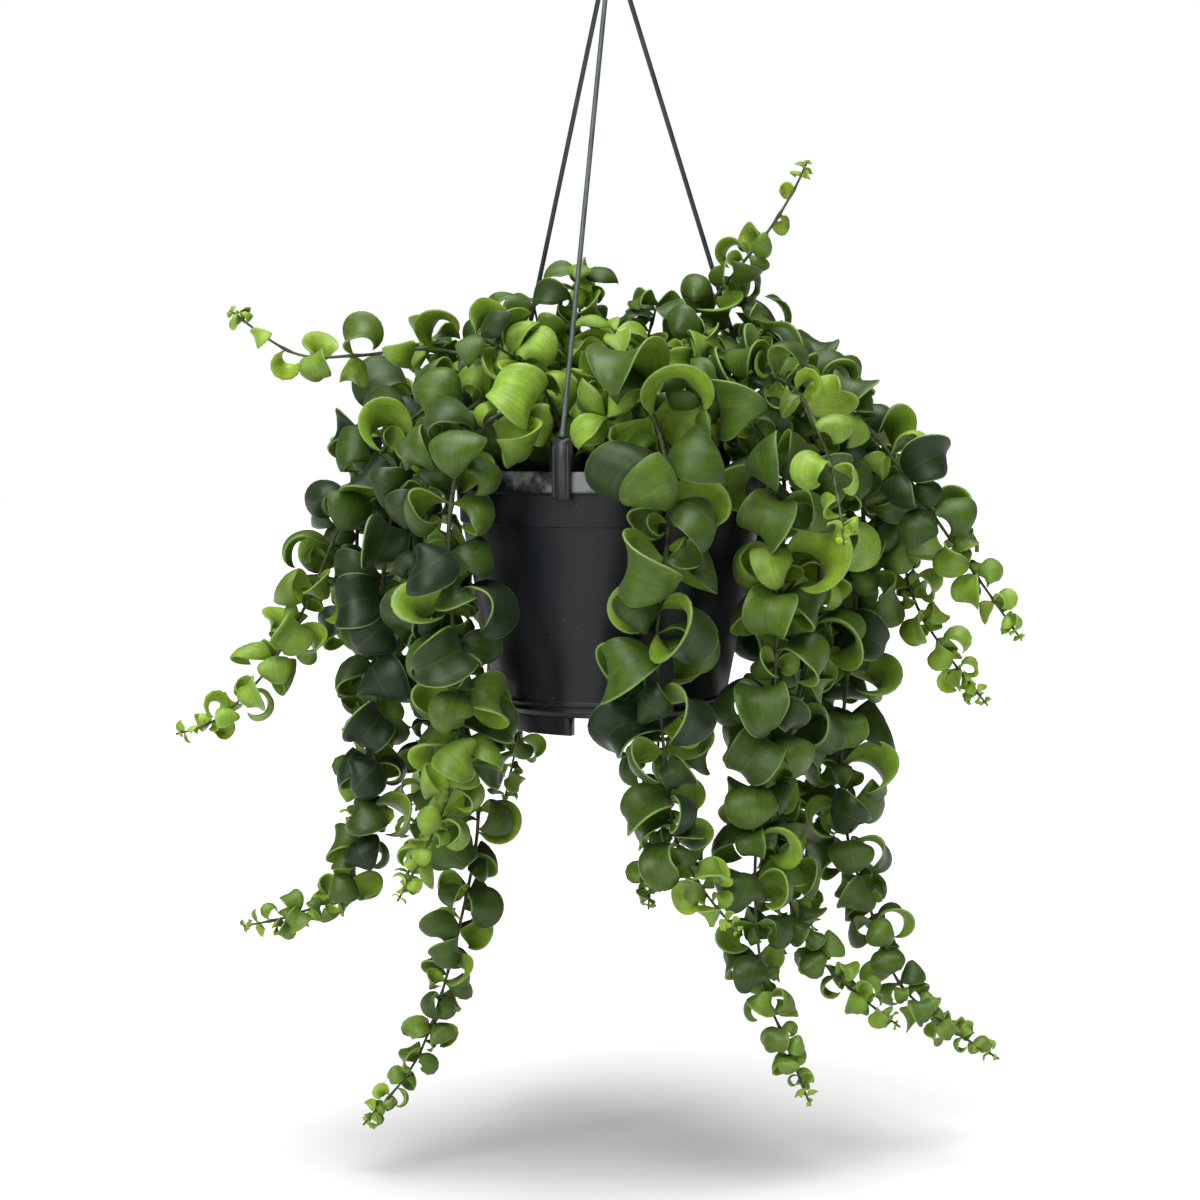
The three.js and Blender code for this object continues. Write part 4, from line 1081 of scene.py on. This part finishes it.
# Pot, soil and hanger; SOIL_WAVES gives size, level and height of the soil's two unevennesses
POT_SIDES = 144
RIM_ROUNDING = 0.9
FOOT_SIDES = 30
RIDGES = 2
RIM_WALL = 4
RIM_TOP_WALL = 3.7
RIM_TAPER = 0.4
RIDGE_PEAK = 0.3
RIDGE_VALLEY = 0.9
FOOT_STEP = 1.5
DRILL_PAST = 5
DRILL_SIDES = 24
SOIL_SIDES = 96
SOIL_SHOULDER = -10.3
SOIL_SLACK = 0.2
CRUMB_COUNT = 420
CRUMB_SIZES = (0.7, 2.0)
CRUMB_SQUASH = ((0.6, 1.3), (0.6, 1.3), (0.4, 0.8))
CRUMB_LUMPS = (0.7, 1.2)
CRUMB_SEAT = 0.2
SOIL_WAVES = ((14, 0.3, 1.4), (4, 1.7, 0.7))
HOOK_SPANS = 72
HOOK_SIDES = 20
HOOK_ROOT_DEPTH = 4.0
BOSS_SIDES = 40
HOOK_END_SHARES = (0.5, 0.85, 0.98)
BOSS_ROUNDING = 1.4
STRAND_FOOT_REACH = 3
STRAND_FOOT_SWELL = 0.5
STRAND_SLIM = 0.92
STRAND_SIDES = 16
STRAND_SPAN = 240
STRAND_SHARES = np.concatenate((np.linspace(0, 0.03, 7), np.linspace(0.06, 1, 34)))
CLIP_SLACK = 0.1
CLIP_WALL = 2.2
CLIP_BELOW_BAND = 2.4
CLIP_INSIDE = 5.8
RIB_WIDTH = 1.6
RIB_INSET = 0.2
CLIP_ROUNDING = 0.35
SHARP_ANGLE = 0.3


def shell_profile():
    profile = [(0, FLOOR_TOP), (BODY_BOTTOM_RADIUS - WALL, FLOOR_TOP),
               (BODY_TOP_RADIUS - WALL, COLLAR_BOTTOM), (RIM_RADIUS - RIM_WALL, -RIM_BAND_HEIGHT),
               (RIM_RADIUS - RIM_TOP_WALL, 0), (RIM_RADIUS, 0),
               (RIM_RADIUS - RIM_TAPER, -RIM_BAND_HEIGHT),
               (COLLAR_RADIUS, -RIM_BAND_HEIGHT), (COLLAR_RADIUS - 0.5, COLLAR_BOTTOM),
               (BODY_TOP_RADIUS, COLLAR_BOTTOM), (BODY_BOTTOM_RADIUS, RIDGE_TOP)]
    for ridge in range(RIDGES):
        top = RIDGE_TOP - ridge * RIDGE_PITCH
        profile.append((BODY_BOTTOM_RADIUS + RIDGE_DEPTH - ridge, top - RIDGE_PITCH * RIDGE_PEAK))
        profile.append((BODY_BOTTOM_RADIUS - RIDGE_DEPTH - ridge, top - RIDGE_PITCH * RIDGE_VALLEY))
    profile += [(FOOT_RADIUS + FOOT_STEP, FOOT_TOP), (0, FOOT_TOP)]
    return rounded(profile, RIM_ROUNDING)


def foot_profile():
    inner = FOOT_RADIUS - FOOT_WIDTH
    return rounded([(FOOT_RADIUS - 1, FOOT_TOP + 1), (FOOT_RADIUS + 1.4, FOOT_TOP + 0.2),
                    (FOOT_RADIUS, -POT_HEIGHT), (inner, -POT_HEIGHT), (inner, FOOT_TOP + 1),
                    (FOOT_RADIUS - 1, FOOT_TOP + 1)], 0.6)


def cut_with(piece, cutters):
    """Takes cutters away from a piece and deletes them."""
    for cutter in cutters:
        cut = piece.modifiers.new("cut", "BOOLEAN")
        cut.operation = "DIFFERENCE"
        cut.solver = "EXACT"
        cut.object = cutter
    graph = bpy.context.evaluated_depsgraph_get()
    made = bpy.data.meshes.new_from_object(piece.evaluated_get(graph))
    piece.modifiers.clear()
    piece.data = made
    for cutter in cutters:
        bpy.data.objects.remove(cutter)


def make_pot(material):
    """A lathed shell with rounded edges, drain holes and a foot in three arcs."""
    shell = Surface()
    shell.add(*lathed(shell_profile(), POT_SIDES))
    pot = turn_faces_out(shell.build("nursery_pot", [material]))
    drills = []
    for hole in range(DRAIN_HOLES):
        angle = hole * 2 * math.pi / DRAIN_HOLES
        middle = DRAIN_CIRCLE * np.array([math.cos(angle), math.sin(angle), 0])
        drill = Surface()
        drill.add(*tube([middle + [0, 0, FLOOR_TOP + DRILL_PAST],
                         middle + [0, 0, FOOT_TOP - DRILL_PAST]], DRAIN_RADIUS, DRILL_SIDES))
        drills.append(turn_faces_out(drill.build(f"drill_{hole}", [])))
    cut_with(pot, drills)
    gap = 2 * math.asin(FOOT_GAP_WIDTH / 2 / FOOT_RADIUS)
    feet = Surface()
    profile = foot_profile()
    for foot in range(FOOT_GAPS):
        middle = -math.pi / 2 + FOOT_GAP_TURN + foot * 2 * math.pi / FOOT_GAPS
        start, sweep = middle + gap / 2, 2 * math.pi / FOOT_GAPS - gap
        points, faces = lathed(profile, FOOT_SIDES, start, sweep)
        size = len(profile)
        ends = [list(range(size - 1)), list(range(len(points) - 2, len(points) - size - 1, -1))]
        feet.add(points, faces + ends)
    place(turn_faces_out(feet.build("pot_foot", [material])), "pot")
    return place(pot, "pot", "pot")


def soil_height(x, y):
    """Height of the loose soil above its plain top."""
    return sum(height * mathutils_noise.noise(Vector((x / size, y / size, level)))
               for size, level, height in SOIL_WAVES)


def crumb(random, centre, size):
    """A lumpy crumb of peat or bark."""
    mesh = bmesh.new()
    bmesh.ops.create_icosphere(mesh, subdivisions=1, radius=1)
    squash = np.array([random.between(*reach) for reach in CRUMB_SQUASH])
    points = [centre + np.array(corner.co) * squash * size * random.between(*CRUMB_LUMPS)
              for corner in mesh.verts]
    mesh.verts.index_update()
    faces = [[corner.index for corner in face.verts] for face in mesh.faces]
    mesh.free()
    return points, faces


def make_soil(material):
    """Loose peat, low at the pot's wall, strewn with crumbs."""
    edge = BODY_TOP_RADIUS - WALL - SOIL_SLACK
    top = [(radius, SOIL_TOP) for radius in np.arange(0, SOIL_FLAT_RADIUS, 2)]
    top += [(SOIL_FLAT_RADIUS, SOIL_TOP), (mix(SOIL_FLAT_RADIUS, edge, 0.5), SOIL_SHOULDER)]
    below = [(edge, SOIL_EDGE), (BODY_TOP_RADIUS - WALL - 0.5, COLLAR_BOTTOM),
             (BODY_BOTTOM_RADIUS - WALL - 0.6, FLOOR_TOP + GAP), (0, FLOOR_TOP + GAP)]
    points, faces = lathed(np.array(top + below, float), SOIL_SIDES)
    for point in points:
        if point[2] > SOIL_EDGE + 1:
            point[2] += soil_height(point[0], point[1])
    surface = Surface()
    surface.add(points, faces)
    random = SeededRandom(CRUMB_SEED)
    for _ in range(CRUMB_COUNT):
        radius = SOIL_FLAT_RADIUS * math.sqrt(random.next())
        angle = random.between(0, 2 * math.pi)
        x, y = radius * math.cos(angle), radius * math.sin(angle)
        centre = np.array([x, y, SOIL_TOP + soil_height(x, y) + CRUMB_SEAT])
        surface.add(*crumb(random, centre, random.between(*CRUMB_SIZES)))
    return place(turn_faces_out(surface.build("soil_surface", [material])), "soil", "soil")


def make_hook(material):
    """The round hook with its blunt end and the boss that the strands run into."""
    centre = HOOK_BEARING + HOOK_WIRE_RADIUS - HOOK_RING_RADIUS
    line = [np.array([0, 0, BOSS_TOP - HOOK_ROOT_DEPTH])]
    for step in range(HOOK_SPANS + 1):
        angle = math.radians(mix(HOOK_START_ANGLE, HOOK_END_ANGLE, step / HOOK_SPANS))
        line.append(np.array([HOOK_RING_RADIUS * math.cos(angle), 0,
                              centre + HOOK_RING_RADIUS * math.sin(angle)]))
    end_heading = unit(line[-1] - line[-2])
    radii = [HOOK_WIRE_RADIUS] * len(line)
    end = line[-1]
    for share in HOOK_END_SHARES:
        line.append(end + end_heading * HOOK_WIRE_RADIUS * share)
        radii.append(HOOK_WIRE_RADIUS * math.sqrt(1 - share * share))
    surface = Surface()
    surface.add(*tube(line, radii, HOOK_SIDES))
    boss = rounded([(0, BOSS_BOTTOM), (BOSS_RADIUS - 0.6, BOSS_BOTTOM),
                    (BOSS_RADIUS, BOSS_BOTTOM + 3), (BOSS_RADIUS, BOSS_TOP - 3),
                    (BOSS_RADIUS - 2.6, BOSS_TOP), (0, BOSS_TOP)], BOSS_ROUNDING)
    surface.add(*lathed(boss, BOSS_SIDES))
    return place(turn_faces_out(surface.build("hook", [material])), "hanger", "hanger_hook")


def make_strand(number, material):
    """One slim strand with a small foot where it is moulded to its clip."""
    low, high = strand_ends(CLIP_ANGLES[number])
    line = [mix(low, high, share) for share in STRAND_SHARES]
    foot = np.exp(-((STRAND_SHARES * STRAND_SPAN) / STRAND_FOOT_REACH) ** 2)
    radii = STRAND_RADIUS * (STRAND_SLIM + STRAND_FOOT_SWELL * foot)
    surface = Surface()
    surface.add(*tube(line, radii, STRAND_SIDES))
    name = f"strand_{number + 1}"
    return place(surface.build(name, [material]), "hanger", f"hanger_{name}")


def make_clip(number, material):
    """One clip that grips the rim band, with two upright ribs on its face."""
    slack = GAP + CLIP_SLACK
    band = RIM_RADIUS + slack
    below = -RIM_BAND_HEIGHT - CLIP_BELOW_BAND
    inside = RIM_RADIUS - CLIP_INSIDE
    section = [(band + CLIP_WALL, below), (band + CLIP_WALL, CLIP_TOP - 2),
               (band + 0.8, CLIP_TOP), (band - 2, CLIP_TOP), (band - 2.8, 3),
               (inside, 2), (inside, -6), (RIM_RADIUS - 4.4, -6),
               (RIM_RADIUS - 4.2, slack), (band, slack), (band, -RIM_BAND_HEIGHT - slack),
               (band - 2, -RIM_BAND_HEIGHT - slack),
               (band - 2, below)]
    rib = [(band + 2, -RIM_BAND_HEIGHT - 1.6), (band + 3, -RIM_BAND_HEIGHT - 1),
           (band + 3, CLIP_TOP - 4), (band + 1.6, CLIP_TOP - 2.4)]
    half = CLIP_WIDTH / 2
    turn = math.radians(CLIP_ANGLES[number])
    outward = np.array([math.sin(turn), -math.cos(turn), 0])
    sideways = np.array([math.cos(turn), math.sin(turn), 0])
    surface = Surface()
    rib_end = RIB_INSET + RIB_WIDTH
    for outline, low, high in ((section, -half, half), (rib, -half + RIB_INSET, -half + rib_end),
                               (rib, half - rib_end, half - RIB_INSET)):
        size = len(outline)
        points = [outward * out + sideways * across + np.array([0, 0, height])
                  for across in (low, high) for out, height in outline]
        faces = ring_faces(2, size) + [list(range(size)), list(range(2 * size - 1, size - 1, -1))]
        surface.add(points, faces)
    name = f"clip_{number + 1}"
    clip = turn_faces_out(surface.build(name, [material]))
    mesh = bmesh.new()
    mesh.from_mesh(clip.data)
    sharp = [edge for edge in mesh.edges if edge.calc_face_angle(0) > SHARP_ANGLE]
    bmesh.ops.bevel(mesh, geom=sharp, offset=CLIP_ROUNDING * MM, segments=2, affect="EDGES",
                    clamp_overlap=True)
    mesh.to_mesh(clip.data)
    mesh.free()
    clip.data.polygons.foreach_set("use_smooth", [True] * len(clip.data.polygons))
    return place(clip, "hanger", f"hanger_{name}")


# Studio
CAMERA_PLACE = (-5.2, -1200, 28)
PHOTO_WIDTH_PX = 1200
FOCUS_PX = 2526
HORIZON_ABOVE_MIDDLE_PX = 191
CAMERA_DROP = HORIZON_ABOVE_MIDDLE_PX / FOCUS_PX
CAMERA_FOCUS = FOCUS_PX / PHOTO_WIDTH_PX
SENSOR_WIDTH = 36
TOP_LIGHT_FROM = (0, -0.12, 1)
FRONT_LIGHT_FROM = (-0.6, -1, 0.7)
FLOOR_HEIGHT = -331
FLOOR_REACH = 9000
FLOOR_SIDES = 96
FLOOR_SPECKLE = 1.03
CLIP_END_M = 20


def make_camera():
    data = bpy.data.cameras.new("camera")
    data.sensor_width = SENSOR_WIDTH
    data.lens = SENSOR_WIDTH * CAMERA_FOCUS
    data.clip_end = CLIP_END_M
    camera = bpy.data.objects.new("camera", data)
    camera.location = to_frame(CAMERA_PLACE)
    camera.rotation_euler = (math.pi / 2 - math.atan(CAMERA_DROP), 0, 0)
    bpy.context.collection.objects.link(camera)
    bpy.context.scene.camera = camera


def make_floor(settings):
    """A pale round floor under the plant."""
    material, tree, shader = start_material("pale_floor", Roughness=0.9,
                                            Specular_IOR_Level=0.1)
    speckle = ranged(tree, noise(tree, 6, 2), 0.3, 0.7)
    shade = opaque(settings.floor_colour)
    paler = tuple(min(1, value * FLOOR_SPECKLE) for value in shade)
    tree.links.new(blended(tree, speckle, shade, paler), shader.inputs["Base Color"])
    surface = Surface()
    surface.add(*lathed(np.array([(0, FLOOR_HEIGHT), (FLOOR_REACH, FLOOR_HEIGHT)]), FLOOR_SIDES))
    floor = turn_faces_out(surface.build("floor", [material]))


def make_lamp(name, source, strength, softness):
    """Even soft light that arrives from one side, its shadows as soft as its angle."""
    data = bpy.data.lights.new(name, "SUN")
    data.energy = strength
    data.angle = softness
    lamp = bpy.data.objects.new(name, data)
    lamp.rotation_euler = (-Vector(source)).to_track_quat("-Z", "Y").to_euler()
    bpy.context.collection.objects.link(lamp)


def make_world(strength):
    """A white backdrop that lights the plant less than it shows."""
    world = bpy.data.worlds.new("studio")
    world.use_nodes = True
    tree = world.node_tree
    seen = tree.nodes.new("ShaderNodeLightPath").outputs["Is Camera Ray"]
    backdrop = tree.nodes["Background"]
    backdrop.inputs["Color"].default_value = (1, 1, 1, 1)
    light = arithmetic(tree, "ADD", arithmetic(tree, "MULTIPLY", seen, 1 - strength), strength)
    tree.links.new(light, backdrop.inputs["Strength"])
    bpy.context.scene.world = world


# Settings that a user would change
def colour_setting(name, description, default):
    return bpy.props.FloatVectorProperty(name=name, description=description, default=default,
                                         subtype="COLOR", size=3, min=0, max=1)


class FoliageSettings(bpy.types.PropertyGroup):
    leaf_thickness: bpy.props.FloatProperty(
        name="Leaf thickness", description="Thickness of a full-grown leaf at its middle",
        default=0.0017, min=0.0005, max=0.004, unit="LENGTH", subtype="DISTANCE")
    dark_leaf: colour_setting("Dark leaf", "Upper face of the darkest leaves",
                              (0.0035, 0.0170, 0.0006))
    mid_leaf: colour_setting("Grown leaf", "Upper face of lighter grown leaves",
                             (0.056, 0.112, 0.005))
    young_leaf: colour_setting("Young leaf", "Upper face of the youngest leaves",
                               (0.21, 0.35, 0.030))
    underside: colour_setting("Underside", "Lower face of grown leaves", (0.16, 0.27, 0.018))
    young_underside: colour_setting("Young underside", "Lower face of the youngest leaves",
                                    (0.32, 0.47, 0.03))
    edge: colour_setting("Leaf edge", "Thin pale edge and midrib", (0.20, 0.34, 0.08))
    stem_green: colour_setting("Green stem", "Greener patches of the stems",
                               (0.060, 0.088, 0.018))
    stem_dark: colour_setting("Dark stem", "Darker patches of the stems",
                              (0.026, 0.026, 0.010))


class PotSettings(bpy.types.PropertyGroup):
    plastic: colour_setting("Plastic", "Black plastic of the pot", (0.0042, 0.0056, 0.0078))
    # Colour of the paler upright streaks on the pot, painted highlights
    plastic_highlight: colour_setting("Painted highlight streaks", "Paler upright streaks painted on the plastic as faint highlights",
                                 (0.0105, 0.0130, 0.0165))
    dust: colour_setting("Dust", "Specks of dust and dried water", (0.20, 0.21, 0.20))
    scuff: colour_setting("Scuffed rim", "Scuffs on the rim band", (0.26, 0.28, 0.27))
    peat: colour_setting("Peat", "Dark peat", (0.022, 0.015, 0.010))
    peat_pale: colour_setting("Pale peat", "Paler crumbs of peat", (0.075, 0.052, 0.034))
    fibre: colour_setting("Fibre", "Fibres in the soil", (0.20, 0.15, 0.09))


class HangerSettings(bpy.types.PropertyGroup):
    front_strand: colour_setting("Front strand", "Grey-green strand and clip at the front",
                                 (0.075, 0.095, 0.085))
    dark_strand: colour_setting("Dark strands", "The other strands", (0.030, 0.034, 0.034))
    black: colour_setting("Hook", "Hook and boss", (0.014, 0.015, 0.017))


class StudioSettings(bpy.types.PropertyGroup):
    floor_colour: colour_setting("Floor", "Colour of the floor", (0.74, 0.74, 0.74))
    world_strength: bpy.props.FloatProperty(
        name="Surrounding light", description="Strength of the even light all round",
        default=0.02, min=0, max=1)
    top_strength: bpy.props.FloatProperty(
        name="Top light", description="Strength of the soft light from overhead",
        default=4.8, min=0, max=20)
    front_strength: bpy.props.FloatProperty(
        name="Front light", description="Strength of the soft light from the front left",
        default=2.1, min=0, max=20)
    top_softness: bpy.props.FloatProperty(
        name="Top softness", description="Angle that the top light fills, seen from the plant",
        default=math.radians(60), min=0, max=math.pi, subtype="ANGLE", unit="ROTATION")
    front_softness: bpy.props.FloatProperty(
        name="Front softness",
        description="Angle that the front light fills, seen from the plant",
        default=math.radians(32), min=0, max=math.pi, subtype="ANGLE", unit="ROTATION")


# Operators
class PLANT_OT_studio(bpy.types.Operator):
    """Add the camera, the pale floor and the soft lamps"""
    bl_idname = "plant.studio"
    bl_label = "Studio"

    def execute(self, context):
        settings = context.scene.plant_studio
        make_camera()
        make_floor(settings)
        make_world(settings.world_strength)
        make_lamp("top_light", TOP_LIGHT_FROM, settings.top_strength, settings.top_softness)
        make_lamp("front_light", FRONT_LIGHT_FROM, settings.front_strength,
                  settings.front_softness)
        context.scene.view_settings.view_transform = "Standard"
        return {"FINISHED"}


class PLANT_OT_pot(bpy.types.Operator):
    """Make the black nursery pot with its foot and drain holes"""
    bl_idname = "plant.pot"
    bl_label = "Pot"

    def execute(self, context):
        make_pot(pot_material(context.scene.plant_pot))
        return {"FINISHED"}


class PLANT_OT_soil(bpy.types.Operator):
    """Make the peat that fills the pot"""
    bl_idname = "plant.soil"
    bl_label = "Soil"

    def execute(self, context):
        make_soil(soil_material(context.scene.plant_pot))
        return {"FINISHED"}


class PLANT_OT_hook(bpy.types.Operator):
    """Make the hook and the boss under it"""
    bl_idname = "plant.hook"
    bl_label = "Hook"

    def execute(self, context):
        black = context.scene.plant_hanger.black
        make_hook(hanger_material("hook_plastic", tuple(2 * value for value in black), black))
        return {"FINISHED"}


class PLANT_OT_strands(bpy.types.Operator):
    """Make the three strands and the clips that hold the rim"""
    bl_idname = "plant.strands"
    bl_label = "Strands and clips"

    def execute(self, context):
        settings = context.scene.plant_hanger
        front = hanger_material("front_strand_plastic", settings.front_strand,
                                tuple(0.6 * value for value in settings.front_strand))
        dark = hanger_material("dark_strand_plastic", settings.dark_strand,
                               tuple(0.6 * value for value in settings.dark_strand))
        for number in range(len(CLIP_ANGLES)):
            make_strand(number, front if number == 0 else dark)
            make_clip(number, dark)
        return {"FINISHED"}


class PLANT_OT_leafy_stems(bpy.types.Operator):
    """Make every leafy stem, from the crown's shoots to the trailing vines"""
    bl_idname = "plant.leafy_stems"
    bl_label = "Leafy stems"

    def execute(self, context):
        settings = context.scene.plant_foliage
        stems, room = lay_out_stems()
        fill_in(stems, room)
        add_tip_leaves(stems, room)
        colour_leaves(stems)
        materials = [leaf_material(settings), stem_material(settings)]
        for stem in stems:
            make_leafy_stem(stem, settings.leaf_thickness / MM, materials)
        return {"FINISHED"}


OPERATORS = (PLANT_OT_studio, PLANT_OT_pot, PLANT_OT_soil, PLANT_OT_hook, PLANT_OT_strands,
             PLANT_OT_leafy_stems)
SETTINGS = {"plant_foliage": FoliageSettings, "plant_pot": PotSettings,
            "plant_hanger": HangerSettings, "plant_studio": StudioSettings}


class PLANT_PT_panel(bpy.types.Panel):
    """Lists the pieces of the plant and their settings"""
    bl_idname = "PLANT_PT_panel"
    bl_label = "Hanging lipstick plant"
    bl_space_type = "VIEW_3D"
    bl_region_type = "UI"
    bl_category = "Plant"

    def draw(self, context):
        for operator in OPERATORS:
            self.layout.operator(operator.bl_idname)
        for label in SETTINGS:
            box = self.layout.box()
            settings = getattr(context.scene, label)
            for name in settings.__annotations__:
                box.prop(settings, name)


CLASSES = (*SETTINGS.values(), *OPERATORS, PLANT_PT_panel)


def register():
    for made in CLASSES:
        bpy.utils.register_class(made)
    for label, settings in SETTINGS.items():
        setattr(bpy.types.Scene, label, bpy.props.PointerProperty(type=settings))


def unregister():
    for label in SETTINGS:
        delattr(bpy.types.Scene, label)
    for made in reversed(CLASSES):
        bpy.utils.unregister_class(made)


def main():
    register()
    bpy.ops.plant.studio()
    bpy.ops.plant.pot()
    bpy.ops.plant.soil()
    bpy.ops.plant.hook()
    bpy.ops.plant.strands()
    bpy.ops.plant.leafy_stems()


if __name__ == "__main__":
    main()
